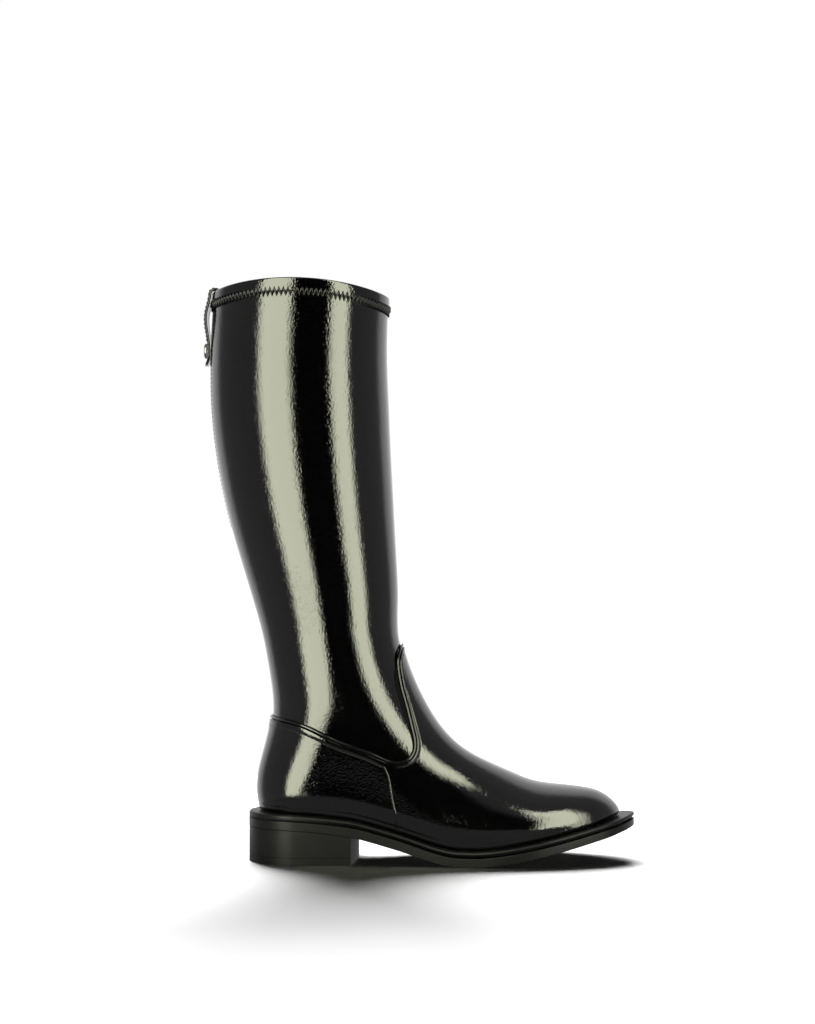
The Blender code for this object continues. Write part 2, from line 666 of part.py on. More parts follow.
def lofted(name, rings, look, hollow=False, caps="pairs"):
    """Skins closed rings in order. A hollow piece runs back to its first ring, a solid one
    is closed at both ends: by strips between its two sides, or by one face."""
    mesh = bmesh.new()
    rows = [[mesh.verts.new(point) for point in ring] for ring in rings]
    count = len(rows[0])
    for low, high in zip(rows, rows[1:] + rows[:1] if hollow else rows[1:]):
        for i in range(count):
            j = (i + 1) % count
            mesh.faces.new((low[i], low[j], high[j], high[i]))
    if not hollow:
        for row in (rows[0], rows[-1]):
            if caps == "face":
                mesh.faces.new(row)
                continue
            mesh.faces.new((row[0], row[1], row[-1]))
            i, j = 1, count - 1
            while j - i > 2 and (caps == "pairs" or i < HEEL_STEPS):
                mesh.faces.new((row[i], row[i + 1], row[j - 1], row[j]))
                i, j = i + 1, j - 1
            mesh.faces.new(row[i : j + 1])
    return finish(name, mesh, look)


def build_sole():
    rubber = material("black_rubber", (0.02, 0.021, 0.02), 0.45)
    edge = SOLE_EDGE_ROUND

    def groove_top(x):
        return outsole_top(x) + GROOVE_HEIGHT

    outsole = [
        plan_ring(edge, underside),
        plan_ring(0.0, lambda x: underside(x) + edge),
        plan_ring(0.0, lambda x: outsole_top(x) - edge),
        plan_ring(edge, outsole_top),
    ]
    lofted("outsole", outsole, rubber)
    welt = [plan_ring(GROOVE_DEPTH, lambda x: outsole_top(x) + CLEARANCE)]
    for turn in np.linspace(0.0, math.pi, BEAD_STEPS + 1):
        rise = BEAD_HEIGHT * (1 - math.cos(turn)) / 2
        welt.append(plan_ring(GROOVE_DEPTH * (1 - math.sin(turn)), lambda x: groove_top(x) + rise))
    lofted("welt", welt, rubber)
    lift_top = LIFT_HEIGHT + CLEARANCE
    heel = [
        heel_ring(HEEL_INSET, lambda x: lift_top),
        heel_ring(HEEL_INSET, lambda x: underside(x) - CLEARANCE),
    ]
    lofted("heel_block", heel, rubber, caps="heel")
    lift = [
        heel_ring(HEEL_INSET + edge, lambda x: 0.0),
        heel_ring(HEEL_INSET, lambda x: edge),
        heel_ring(HEEL_INSET, lambda x: LIFT_HEIGHT),
    ]
    lofted("heel_top_lift", lift, rubber, caps="heel")


def build_upper():
    patent = material("black_patent", (0.004, 0.004, 0.004), 0.12, coat=1.0)
    shares = cosine_steps(SIDE_STEPS)
    levels = np.linspace(0.0, 1.0, UPPER_LEVELS + 1) ** WELT_CROWDING
    outside = upper_rings(Skin(CLEARANCE + UPPER_WALL), levels, shares)
    inside = upper_rings(Skin(CLEARANCE), levels, shares)
    turned = [drawn_in(outside[0], TURN_UNDER, feather)]
    for turn in np.linspace(0.0, math.pi / 2, TURN_STEPS + 1)[:-1]:
        inset, rise = TURN_ROUND / 2 * (1 - math.sin(turn)), TURN_ROUND * (1 - math.cos(turn))
        turned.append(drawn_in(outside[0], inset, lambda x: feather(x) + rise))
    lining = [
        drawn_in(inside[0], LINING_EASE, lambda x: feather(x) + UPPER_WALL),
        drawn_in(inside[0], TURN_UNDER - UPPER_WALL, lambda x: feather(x) + UPPER_WALL),
    ]
    lofted("upper", turned + outside + inside[::-1] + lining, patent, hollow=True)
    board = material("insole_lining", (0.12, 0.1, 0.08), 0.8)
    low = UPPER_WALL + INSOLE_LIFT
    insole = [
        drawn_in(inside[0], INSOLE_EASE, lambda x: feather(x) + low),
        drawn_in(inside[0], INSOLE_EASE, lambda x: feather(x) + low + INSOLE_THICKNESS),
    ]
    lofted("insole", insole, board)
    return patent, shares


def build_shaft(patent, shares):
    skin, band = Skin(0.0), Skin(BAND_STEP)
    outside = shaft_rings(skin, shares, BAND_HEIGHT)
    outside.append(band.ring(collar_path(band, BAND_HEIGHT - BAND_STEP / 2, shares)))
    outside.append(band.ring(collar_path(band, BAND_STEP / 2, shares)))
    inside = shaft_rings(Skin(-SHAFT_WALL), shares, 0.0)
    lofted("shaft", outside + inside[::-1], patent, hollow=True)


def build_piping(patent, shares):
    away = PIPING_CLEARANCE + PIPING_RADIUS
    skin = Skin(away)
    ring = skin.ring(skin.edge_path(shares, away))
    curve = bpy.data.curves.new("edge_piping", "CURVE")
    curve.dimensions = "3D"
    curve.bevel_depth = PIPING_RADIUS
    curve.bevel_resolution = 1
    spline = curve.splines.new("POLY")
    spline.points.add(len(ring) - 1)
    spline.use_cyclic_u = True
    for point, (x, y, z) in zip(spline.points, ring):
        point.co = (x - HEEL_CENTRE, y, z, 1.0)
    curve.materials.append(patent)
    bpy.context.scene.collection.objects.link(bpy.data.objects.new("edge_piping", curve))


def build_tab(patent):
    path = tab_path()
    lofted("pull_tab", tab_rings(path), patent, caps="face")
    metal = material("dark_stud", (0.25, 0.25, 0.25), 0.25, metallic=1.0)
    lofted("tab_stud", stud_rings(path), metal, caps="face")


build_sole()
patent_leather, side_shares = build_upper()
build_shaft(patent_leather, side_shares)
build_piping(patent_leather, side_shares)
build_tab(patent_leather)
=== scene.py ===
"""A knee-high patent leather riding boot for the right foot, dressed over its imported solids.

X runs from heel to toe, Y from the outer to the inner side of the leg and Z up from the
floor, in metres. The lines of the side view are read from the heel's back edge.
"""

import math
from collections import namedtuple

import bmesh
import bpy
import numpy as np
from mathutils import Matrix, Vector


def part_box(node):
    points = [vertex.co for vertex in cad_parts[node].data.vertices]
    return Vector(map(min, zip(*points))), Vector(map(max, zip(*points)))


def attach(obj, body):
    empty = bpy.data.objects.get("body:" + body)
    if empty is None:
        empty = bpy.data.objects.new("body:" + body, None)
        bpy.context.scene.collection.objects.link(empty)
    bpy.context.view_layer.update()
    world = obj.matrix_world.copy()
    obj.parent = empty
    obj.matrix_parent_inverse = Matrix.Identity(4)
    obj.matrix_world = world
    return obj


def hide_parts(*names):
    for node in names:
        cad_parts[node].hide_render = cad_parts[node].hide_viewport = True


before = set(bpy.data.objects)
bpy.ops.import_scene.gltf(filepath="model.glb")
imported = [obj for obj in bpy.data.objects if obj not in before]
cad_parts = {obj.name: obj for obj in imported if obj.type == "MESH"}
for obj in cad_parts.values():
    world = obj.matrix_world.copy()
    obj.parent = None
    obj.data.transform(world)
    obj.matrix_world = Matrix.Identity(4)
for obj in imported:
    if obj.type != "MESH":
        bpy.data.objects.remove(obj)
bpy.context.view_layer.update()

# Outsole: one moulded black rubber plate, cut to the plan of the last. It runs from the
# heel seat down a short arch to the tread and springs up to the toe. Its edge is trimmed
# upright, with both corners just broken.
outsole_low, outsole_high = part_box("outsole")
SOLE_LENGTH = outsole_high.x - outsole_low.x
HEEL_CENTRE = -outsole_low.x
BALL_BREADTH = 0.093
HEEL_CURVE = 0.033
TOE_CURVE = 0.024
HEEL_RISE = 0.0244
TOE_SPRING = 0.0239
OUTSOLE_THICKNESS = 0.006
SOLE_EDGE_ROUND = 0.0004
SOLE_STEPS = 130
MERGE_DISTANCE = 0.000001
CORNER_ANGLE = 0.8
RUBBER_BLACK = (0.010, 0.010, 0.011, 1.0)
RUBBER_IOR = 1.24
RUBBER_ROUGHNESS = (0.34, 0.5)
RUBBER_GRAIN_SCALE = 2600.0
RUBBER_GRAIN_DEPTH = 0.00004
WEAR_SCALE = 60.0
TREAD_ROUGHNESS = (0.4, 0.6)
TREAD_PITCH = 0.0032
TREAD_DEPTH = 0.0004
WAVE_PERIOD = 0.314

Underside = namedtuple("Underside", "along heel toe thickness")
UNDERSIDE = [Underside(*row) for row in (
    (0.0, 1.0, 0.0, 1.04),
    (0.08, 0.995, 0.0, 1.04),
    (0.14, 0.965, 0.0, 1.04),
    (0.20, 0.90, 0.0, 1.06),
    (0.266, 0.795, 0.0, 1.10),
    (0.352, 0.545, 0.0, 1.12),
    (0.412, 0.345, 0.0, 1.12),
    (0.452, 0.20, 0.0, 1.10),
    (0.485, 0.092, 0.0, 1.08),
    (0.515, 0.026, 0.0, 1.06),
    (0.537, 0.0, 0.0, 1.05),
    (0.580, 0.0, 0.0, 1.03),
    (0.605, 0.0, 0.022, 1.02),
    (0.640, 0.0, 0.072, 1.0),
    (0.697, 0.0, 0.178, 1.0),
    (0.801, 0.0, 0.425, 0.97),
    (0.896, 0.0, 0.69, 0.91),
    (1.0, 0.0, 1.0, 0.80),
)]
Plan = namedtuple("Plan", "along outer inner middle outer_swell inner_swell")
PLAN = [Plan(*row) for row in (
    (0.0, 0.333, 0.333, 0.0, 1.5, 1.5),
    (0.13, 0.355, 0.355, 0.0, 1.7, 1.6),
    (0.265, 0.355, 0.333, 0.0, 2.0, 2.2),
    (0.386, 0.372, 0.290, 0.0, 2.2, 3.2),
    (0.515, 0.428, 0.350, 0.005, 1.6, 2.2),
    (0.625, 0.476, 0.458, 0.013, 1.1, 1.2),
    (0.70, 0.484, 0.511, 0.022, 1.0, 1.0),
    (0.78, 0.441, 0.500, 0.032, 0.9, 0.9),
    (0.853, 0.366, 0.446, 0.045, 0.8, 0.8),
    (0.926, 0.269, 0.366, 0.059, 0.7, 0.7),
    (1.0, 0.161, 0.280, 0.070, 0.6, 0.6),
)]


def natural(knots, values):
    """The natural cubic through the values, as a function that runs straight past its ends."""
    knots, values = np.asarray(knots, float), np.asarray(values, float)
    gaps = np.diff(knots)
    system = np.eye(len(knots))
    right = np.zeros(len(knots))
    for i in range(1, len(knots) - 1):
        system[i, i - 1 : i + 2] = gaps[i - 1], 2 * (gaps[i - 1] + gaps[i]), gaps[i]
        slopes = np.diff(values[i - 1 : i + 2]) / gaps[i - 1 : i + 1]
        right[i] = 6 * (slopes[1] - slopes[0])
    bends = np.linalg.solve(system, right)

    def at(where):
        where = np.asarray(where, float)
        i = np.clip(np.searchsorted(knots, where) - 1, 0, len(gaps) - 1)
        inside = np.clip(where, knots[0], knots[-1])
        a, b, gap = knots[i + 1] - inside, inside - knots[i], gaps[i]
        slope = (values[i + 1] - values[i]) / gap
        value = (bends[i] * a**3 + bends[i + 1] * b**3) / (6 * gap)
        value += (values[i] / gap - bends[i] * gap / 6) * a
        value += (values[i + 1] / gap - bends[i + 1] * gap / 6) * b
        slope += (bends[i + 1] * (3 * b**2 - gap**2) - bends[i] * (3 * a**2 - gap**2)) / (6 * gap)
        return value + slope * (where - inside)

    return at


def level(knots, values):
    """A cubic through the values that never overshoots, so that equal values stay level."""
    knots, values = np.asarray(knots, float), np.asarray(values, float)
    gaps = np.diff(knots)
    steps = np.diff(values) / gaps
    slopes = np.concatenate([steps[:1], np.zeros(len(steps) - 1), steps[-1:]])
    rising = steps[:-1] * steps[1:] > 0
    inner = np.zeros(len(rising))
    inner[rising] = 2 * steps[:-1][rising] * steps[1:][rising] / (steps[:-1] + steps[1:])[rising]
    slopes[1:-1] = inner

    def at(where):
        where = np.clip(np.asarray(where, float), knots[0], knots[-1])
        i = np.clip(np.searchsorted(knots, where) - 1, 0, len(gaps) - 1)
        t = (where - knots[i]) / gaps[i]
        rise = values[i + 1] - values[i]
        ends = slopes[i] * (t**3 - 2 * t**2 + t) + slopes[i + 1] * (t**3 - t**2)
        return values[i] + rise * (3 * t**2 - 2 * t**3) + gaps[i] * ends

    return at


sole_stations = [row.along * SOLE_LENGTH for row in UNDERSIDE]
underside = level(sole_stations, [r.heel * HEEL_RISE + r.toe * TOE_SPRING for r in UNDERSIDE])
outsole_depth = level(sole_stations, [r.thickness * OUTSOLE_THICKNESS for r in UNDERSIDE])
plan_stations = [row.along * SOLE_LENGTH for row in PLAN]
outer_edge = natural(plan_stations, [row.outer * BALL_BREADTH for row in PLAN])
inner_edge = natural(plan_stations, [row.inner * BALL_BREADTH for row in PLAN])
middle = level(plan_stations, [row.middle * BALL_BREADTH for row in PLAN])


def outsole_top(x):
    return underside(x) + outsole_depth(x)


def cosine_steps(count):
    """Shares from 0 to 1 that crowd at both ends, where a rounded side turns."""
    return (1 - np.cos(np.linspace(0.0, math.pi, count + 1))) / 2


def two_sided(x, outer, inner, heights):
    """A ring of points that runs up the outer side and back down the inner side."""
    there = np.stack([x, outer, heights], axis=1)
    back = np.stack([x, inner, heights], axis=1)
    return np.concatenate([there, back[-2:0:-1]])


def plan_ring(inset, height, rise=0.0):
    """The sole's outline drawn in by an inset, at a rise above a height over x."""
    x = inset + cosine_steps(SOLE_STEPS) * (SOLE_LENGTH - 2 * inset)
    heel = np.clip(1 - (x - inset) / (HEEL_CURVE - inset), 0.0, 1.0)
    toe = np.clip(1 - (SOLE_LENGTH - inset - x) / (TOE_CURVE - inset), 0.0, 1.0)
    round_off = np.sqrt(np.clip(1 - heel**2 - toe**2, 0.0, 1.0))
    outer = middle(x) - (outer_edge(x) - inset + middle(x)) * round_off
    inner = middle(x) + (inner_edge(x) - inset - middle(x)) * round_off
    return two_sided(x, outer, inner, height(x) + rise)


def wrapped(rings, ends, second=()):
    """A grid wrapped round through rings of points: its ends are drawn together along the
    middle when they are "closed", filled when "capped", or run into each other when the piece
    is "hollow". Rows of faces numbered in second take the piece's second look."""
    if ends == "closed":
        low, high = [(ring + np.roll(ring[::-1], 1, axis=0)) / 2 for ring in (rings[0], rings[-1])]
        rings = [low, *rings, high]
    if ends == "hollow":
        rings = [*rings, rings[0]]
    rings = np.asarray(rings)
    points = np.concatenate([rings, rings[:, :1]], axis=1).reshape(-1, 3)
    mesh = bmesh.new()
    bmesh.ops.create_grid(mesh, x_segments=len(rings[0]), y_segments=len(rings) - 1)
    mesh.verts.index_update()
    for face in mesh.faces:
        row = min(vert.index for vert in face.verts) // (len(rings[0]) + 1)
        face.material_index = int(row in second)
    for vert, point in zip(mesh.verts, points):
        vert.co = point
    bmesh.ops.translate(mesh, verts=mesh.verts, vec=(-HEEL_CENTRE, 0.0, 0.0))
    if ends == "capped":
        bmesh.ops.remove_doubles(mesh, verts=mesh.verts, dist=MERGE_DISTANCE)
        bmesh.ops.holes_fill(mesh, edges=mesh.edges, sides=0)
    return mesh


def cleaned(mesh):
    """Merges a mesh's seams, drops its empty faces and turns the others out."""
    bmesh.ops.remove_doubles(mesh, verts=mesh.verts, dist=MERGE_DISTANCE)
    bmesh.ops.dissolve_degenerate(mesh, edges=mesh.edges, dist=MERGE_DISTANCE / 10)
    bmesh.ops.recalc_face_normals(mesh, faces=mesh.faces)


def linked(name, data):
    """A new object of its data, linked to the scene."""
    made = bpy.data.objects.new(name, data)
    bpy.context.scene.collection.objects.link(made)
    return made


def meshed(name, mesh, *looks):
    """A new object from a finished bmesh, with its looks."""
    data = bpy.data.meshes.new(name)
    mesh.to_mesh(data)
    mesh.free()
    for look in looks:
        data.materials.append(look)
    return linked(name, data)


def mounted(piece, nodes):
    """Sets a piece on the boot's one body, in place of the solids it dresses."""
    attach(piece, "root")
    if nodes:
        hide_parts(*nodes)


def finished(name, mesh, looks, slot, *nodes, fine=0):
    """The piece from its mesh: seams merged and faces turned out, then dressed and mounted."""
    cleaned(mesh)
    piece = meshed(name, mesh, *looks)
    piece.data.shade_smooth()
    if fine:
        subdivided = piece.modifiers.new("fine", "SUBSURF")
        subdivided.levels = subdivided.render_levels = fine
    else:
        piece.modifiers.new("even_shading", "WEIGHTED_NORMAL")
    mounted(piece, nodes)


def block(name, low, high, corner, looks, slot, node):
    """A solid piece between two rings, its corners broken as by a trimming wheel. Its lower
    face takes the second look, if there is one."""
    mesh = wrapped([low, high], "closed", second=range(len(looks) - 1))
    cleaned(mesh)
    sharp = [edge for edge in mesh.edges if edge.calc_face_angle(0.0) > CORNER_ANGLE]
    bmesh.ops.bevel(
        mesh, geom=sharp, offset=corner, segments=3, profile=0.5, affect="EDGES", material=-1
    )
    finished(name, mesh, looks, slot, node)


class Wire:
    """A socket of a material. Sums and products of wires add Math nodes."""

    def __init__(self, socket):
        self.socket = socket

    def node(self, kind, settings, inputs, output=0):
        """The wire out of a new node, from its settings and what goes into its sockets."""
        tree = self.socket.id_data
        made = tree.nodes.new(kind)
        for setting, value in settings.items():
            setattr(made, setting, value)
        for key, value in inputs.items():
            if isinstance(value, Wire):
                tree.links.new(value.socket, made.inputs[key])
            else:
                made.inputs[key].default_value = value
        return Wire(made.outputs[output])

    def maths(self, operation, first, second):
        return self.node("ShaderNodeMath", {"operation": operation}, {0: first, 1: second})

    def __add__(self, other):
        return self.maths("ADD", self, other)

    def __mul__(self, other):
        return self.maths("MULTIPLY", self, other)

    __radd__ = __add__
    __rmul__ = __mul__

    def between(self, low, high):
        """This wire, of 0 to 1, spread from a low to a high value."""
        return self * (high - low) + low

    def noise(self, scale, detail):
        """Cloudy noise over this wire's coordinates, about 0 to 1."""
        inputs = {"Vector": self, "Scale": scale, "Detail": detail}
        return self.node("ShaderNodeTexNoise", {}, inputs)

    def bumped(self, height, distance):
        """The normal that this wire's normal, or the plain one, has under a height."""
        inputs = {"Height": height, "Distance": distance, "Strength": 1.0}
        return self.node("ShaderNodeBump", {}, inputs)


def new_look(name, **constants):
    """A material with its steady values set, and the wire of its own coordinates."""
    made = bpy.data.materials.new(name)
    made.use_nodes = True
    shader = made.node_tree.nodes["Principled BSDF"]
    for socket, value in constants.items():
        shader.inputs[socket.replace("_", " ")].default_value = value
    place = made.node_tree.nodes.new("ShaderNodeTexCoord")
    return made, Wire(place.outputs["Object"])


def dress(made, **wires):
    """Links the wires that vary over the surface to the material's shader."""
    shader = made.node_tree.nodes["Principled BSDF"]
    for socket, wire in wires.items():
        made.node_tree.links.new(wire.socket, shader.inputs[socket.replace("_", " ")])


rubber, place = new_look("black_rubber", Base_Color=RUBBER_BLACK, IOR=RUBBER_IOR)
dress(
    rubber,
    Roughness=place.noise(WEAR_SCALE, 3.0).between(*RUBBER_ROUGHNESS),
    Normal=place.bumped(place.noise(RUBBER_GRAIN_SCALE, 3.0), RUBBER_GRAIN_DEPTH),
)
tread, place = new_look("rubber_tread", Base_Color=RUBBER_BLACK, IOR=RUBBER_IOR)
ribs = place.node("ShaderNodeTexWave", {"bands_direction": "DIAGONAL"}, {
    "Vector": place, "Scale": WAVE_PERIOD / TREAD_PITCH / math.sqrt(2), "Distortion": 0.0,
})
dress(
    tread,
    Roughness=place.noise(WEAR_SCALE, 3.0).between(*TREAD_ROUGHNESS),
    Normal=place.bumped(ribs, TREAD_DEPTH),
)

low, high = plan_ring(0.0, underside), plan_ring(0.0, outsole_top)
block("sole_plate", low, high, SOLE_EDGE_ROUND, [rubber, tread], "rubber", "outsole")

# Heel: a block of stacked black board, wrapped smooth, and the hard rubber top lift nailed
# under it. The front face, or breast, slants and bulges, and a fine line parts the two.
HEEL_LENGTH = 0.0724
BREAST_SLANT = 0.0045
BREAST_BULGE = 0.0019
LIFT_HEIGHT = 0.0052
HEEL_INSET = 0.0001
HEEL_JOINT = 0.0001
CLEARANCE = 0.0003
HEEL_STEPS = 48
BREAST_STEPS = 16


def heel_ring(inset, height):
    """The heel's outline: round the back, along both sides and across the slanted breast."""
    shares = 1 - np.cos(np.linspace(0.0, math.pi / 2, HEEL_STEPS + 1))
    sides = []
    breasts = (HEEL_LENGTH, HEEL_LENGTH + BREAST_SLANT)
    for length, edge, way in zip(breasts, (outer_edge, inner_edge), (-1, 1)):
        x = inset + shares * (length - 2 * inset)
        heel = np.clip(1 - (x - inset) / (HEEL_CURVE - inset), 0.0, 1.0)
        y = way * (edge(x) - inset) * np.sqrt(1 - heel**2)
        sides.append(np.stack([x, y], axis=1))
    share = np.linspace(0.0, 1.0, BREAST_STEPS + 1)[1:-1, None]
    breast = sides[0][-1] + share * (sides[1][-1] - sides[0][-1])
    breast[:, 0] += BREAST_BULGE * 4 * (share * (1 - share))[:, 0]
    ring = np.concatenate([sides[0], breast, sides[1][:0:-1]])
    return np.column_stack([ring, height(ring[:, 0])])


def flat(height):
    return lambda x: np.full(len(x), height)


low = heel_ring(HEEL_INSET, flat(LIFT_HEIGHT + HEEL_JOINT))
high = heel_ring(HEEL_INSET, lambda x: underside(x) - HEEL_JOINT)
block("heel_stack", low, high, SOLE_EDGE_ROUND / 2, [rubber], "rubber", "heel_block")
low, high = heel_ring(HEEL_INSET, flat(0.0)), heel_ring(HEEL_INSET, flat(LIFT_HEIGHT))
block("heel_tip", low, high, SOLE_EDGE_ROUND / 2, [rubber, tread], "rubber", "heel_top_lift")

# Welt: a rubber strip all round the feather line, with a full round bead over a groove that
# runs out to almost nothing round the heel. The upper is lasted down on its flat top.
GROOVE_HEIGHT = 0.0014
GROOVE_DEPTH = 0.0016
BEAD_HEIGHT = 0.003
BEAD_STEPS = 12
HEEL_GROOVE = 0.05
GROOVE_START = 0.04
GROOVE_RUN = 0.045


def groove_top(x):
    return outsole_top(x) + GROOVE_HEIGHT


def welt_top(x):
    return groove_top(x) + BEAD_HEIGHT


def eased(value):
    value = np.clip(value, 0.0, 1.0)
    return value * value * (3 - 2 * value)


def groove_ring(share, height, rise):
    """The outline drawn in by a share of the groove's depth, and by less round the heel."""
    deep = plan_ring(share * GROOVE_DEPTH, height, rise)
    shallow = plan_ring(share * HEEL_GROOVE * GROOVE_DEPTH, height, rise)
    depth = eased((deep[:, :1] - GROOVE_START) / GROOVE_RUN)
    return shallow + depth * (deep - shallow)


welt_rings = [groove_ring(1.0, outsole_top, CLEARANCE / 3), groove_ring(1.0, groove_top, 0.0)]
for turn in np.linspace(0.0, math.pi, BEAD_STEPS + 1)[1:]:
    rise = BEAD_HEIGHT * (1 - math.cos(turn)) / 2
    share = 1 - math.sin(turn)
    if turn < math.pi / 2:
        welt_rings.append(groove_ring(share, groove_top, rise))
    else:
        welt_rings.append(plan_ring(share * GROOVE_DEPTH, groove_top, rise))
finished("beaded_welt", wrapped(welt_rings, "closed"), [rubber], "rubber", "welt")

# Upper: counter and vamp of black patent leather, pulled tight over the last and cemented to
# the welt. Its top edge is folded: it dips from the heel to the instep and climbs the shin.
ANKLE_RISE = 0.1197
ANKLE_DEPTH = 0.0957
ANKLE_BREADTH = 0.077
ANKLE_MIDDLE = 0.05795
BOOT_HEIGHT = 0.405
COLLAR_DEPTH = 0.124
COLLAR_BREADTH = 0.104
SHAFT_LEAN = 0.021
HEEL_SETBACK = 0.0098
TOE_SETBACK = 0.0111
WELT_LEDGE = 0.0065
SWELL = 0.003
SWELL_HEIGHT = 0.016
UPPER_WALL = 0.0018
TURN_UNDER = 0.011
TURN_ROUND = 0.004
EDGE_BACK_RISE = 0.0643
EDGE_PEAK_RISE = 0.1145
EDGE_TURN = 0.62
SEAM_TURN = 0.555
LEG_START = 0.1
LEG_RUN = 0.65
UPPER_GRIP = 3
NOSE_POINTS = 60
UPPER_STEPS = 96
EDGE_ROWS = (
    0.0, 0.0003, 0.0006, 0.0009, 0.0012, 0.0015, 0.0018, 0.0020, 0.0022, 0.0024, 0.0027,
    0.0031, 0.0035, 0.0038, 0.0040, 0.0042, 0.0044, 0.0047, 0.0052, 0.0062, 0.0085,
)
COUNTER_STITCH = 0.0042
VAMP_STITCH = 0.0022
DENSE_LEVELS = 260
UPPER_LEVELS = 34
LINING_LEVELS = 16
TURN_STEPS = 5
LINE_POINTS = 500
VAMP_BLEND = 0.06
COUNTER_BLEND = 0.02
PATENT_BLACK = (0.0035, 0.0038, 0.0035, 1.0)
PATENT_ROUGHNESS = (0.04, 0.08)
PATENT_IOR = 1.5
SHEEN_SCALE = 25.0
GRAIN_SCALE = 800.0
GRAIN_DEPTH = 0.00011
LINING_BLACK = (0.008, 0.008, 0.008, 1.0)
LINING_ROUGHNESS = 0.8
LINING_IOR = 1.15
LINING_SCALE = 1500.0
LINING_DEPTH = 0.0001

Relief = namedtuple("Relief", "height at width")
VAMP_RELIEF = (Relief(0.0005, 0.0009, 0.0009), Relief(-0.0003, VAMP_STITCH, 0.00035))
COUNTER_RELIEF = (Relief(0.0002, 0.0018, 0.0016), Relief(-0.00012, COUNTER_STITCH, 0.0004))
EDGE_RELIEF = (Relief(-0.0003, 0.0, 0.0003),)

HeelBack = namedtuple("HeelBack", "up hollow rounding")
HEEL_BACK = [HeelBack(*row) for row in (
    (0.0, 0.0, 0.29),
    (0.05, -0.016, 0.30),
    (0.12, -0.026, 0.315),
    (0.20, -0.021, 0.335),
    (0.325, 0.013, 0.38),
    (0.466, 0.056, 0.43),
    (0.591, 0.073, 0.465),
    (0.714, 0.062, 0.485),
    (0.856, 0.034, 0.495),
)]
Ridge = namedtuple("Ridge", "way rise rounding")
RIDGE = [Ridge(*row) for row in (
    (0.009, 1.064, 0.50),
    (0.0535, 0.909, 0.51),
    (0.107, 0.786, 0.52),
    (0.177, 0.668, 0.53),
    (0.291, 0.542, 0.52),
    (0.3875, 0.469, 0.48),
    (0.507, 0.379, 0.40),
    (0.623, 0.296, 0.32),
    (0.754, 0.238, 0.25),
    (0.867, 0.184, 0.205),
    (1.0, 0.114, 0.157),
)]
Leg = namedtuple("Leg", "up lean spread")
LEG = [Leg(*row) for row in (
    (0.0, 0.0, 0.0),
    (0.112, 0.20, 0.24),
    (0.203, 0.381, 0.459),
    (0.294, 0.574, 0.654),
    (0.385, 0.740, 0.816),
    (0.475, 0.876, 0.933),
    (0.566, 0.986, 1.018),
    (0.657, 1.060, 1.065),
    (0.748, 1.100, 1.055),
    (0.86, 1.085, 1.02),
    (1.0, 1.0, 1.0),
)]
EdgeLine = namedtuple("EdgeLine", "along rise lap")
EDGE_LINE = [EdgeLine(*row) for row in (
    (0.138, 0.527, 1),
    (0.242, 0.421, 1),
    (0.322, 0.352, 1),
    (0.386, 0.303, 1),
    (0.4195, 0.330, 0.9),
    (0.4345, 0.392, 0.75),
    (0.4340, 0.460, 0.6),
    (0.4250, 0.550, 0.5),
    (0.4140, 0.655, 0.45),
    (0.4020, 0.755, 0.35),
    (0.3935, 0.860, 0.3),
    (0.3925, 0.945, 0.25),
)]

outer_swell = level(plan_stations, [row.outer_swell * SWELL for row in PLAN])
inner_swell = level(plan_stations, [row.inner_swell * SWELL for row in PLAN])


def feather(x):
    """Height of the upper's underside where it rests on the welt."""
    return welt_top(x) + CLEARANCE


SEAT = float(feather(HEEL_SETBACK))
ANKLE = SEAT + ANKLE_RISE
TOE_TIP = SOLE_LENGTH - TOE_SETBACK


def run_of(line):
    """The length run along a line up to each of its points."""
    return np.concatenate([[0.0], np.cumsum(np.linalg.norm(np.diff(line, axis=0), axis=1))])


def unit(ways):
    """Ways of the side view or the plan, each made as long as 1."""
    return ways / np.hypot(*ways.T)[:, None]


def gaps_to(points, line):
    """How far points lie from each step of a line, and the nearest share of each step."""
    ways = np.diff(line, axis=0)
    offsets = points[:, None] - line[:-1]
    shares = np.clip((offsets * ways).sum(2) / (ways**2).sum(1), 0.0, 1.0)
    return np.linalg.norm(offsets - shares[..., None] * ways, axis=2), shares


def along_line(line, share):
    """Points at shares of a line's length."""
    run = run_of(line)
    return np.stack([np.interp(np.asarray(share) * run[-1], run, c) for c in line.T], axis=1)


def smooth_line(rows):
    """The rows of x, z and what else they hold as a fine line."""
    rows = np.asarray(rows, float)
    run = run_of(rows[:, :2])
    fine = np.linspace(0.0, run[-1], LINE_POINTS)
    return np.stack([natural(run, values)(fine) for values in rows.T], axis=1)


leg_rows = []
for row in LEG:
    depth = ANKLE_DEPTH + row.spread * (COLLAR_DEPTH - ANKLE_DEPTH)
    height = ANKLE + row.up * (BOOT_HEIGHT - ANKLE)
    leg_rows.append((height, ANKLE_MIDDLE - row.lean * SHAFT_LEAN, depth / 2))
leg_breadth = natural(
    [height for height, _, _ in leg_rows],
    [(ANKLE_BREADTH + row.spread * (COLLAR_BREADTH - ANKLE_BREADTH)) / 2 for row in LEG],
)
back_rows = []
for row in HEEL_BACK:
    reach = row.up * (ANKLE_MIDDLE - ANKLE_DEPTH / 2 - HEEL_SETBACK)
    x = HEEL_SETBACK + reach + row.hollow * ANKLE_DEPTH
    back_rows.append((x, SEAT + row.up * ANKLE_RISE, row.rounding * ANKLE_DEPTH))
back_rows += [(centre - half, height, half) for height, centre, half in leg_rows]
BACK_LINE = smooth_line(back_rows)
ridge_rows = [(centre + half, height, half) for height, centre, half in leg_rows[::-1]]
for row in RIDGE:
    x = ANKLE_MIDDLE + ANKLE_DEPTH / 2 + row.way * (TOE_TIP - ANKLE_MIDDLE - ANKLE_DEPTH / 2)
    ridge_rows.append((x, float(feather(x)) + row.rise * ANKLE_RISE, row.rounding * ANKLE_DEPTH))
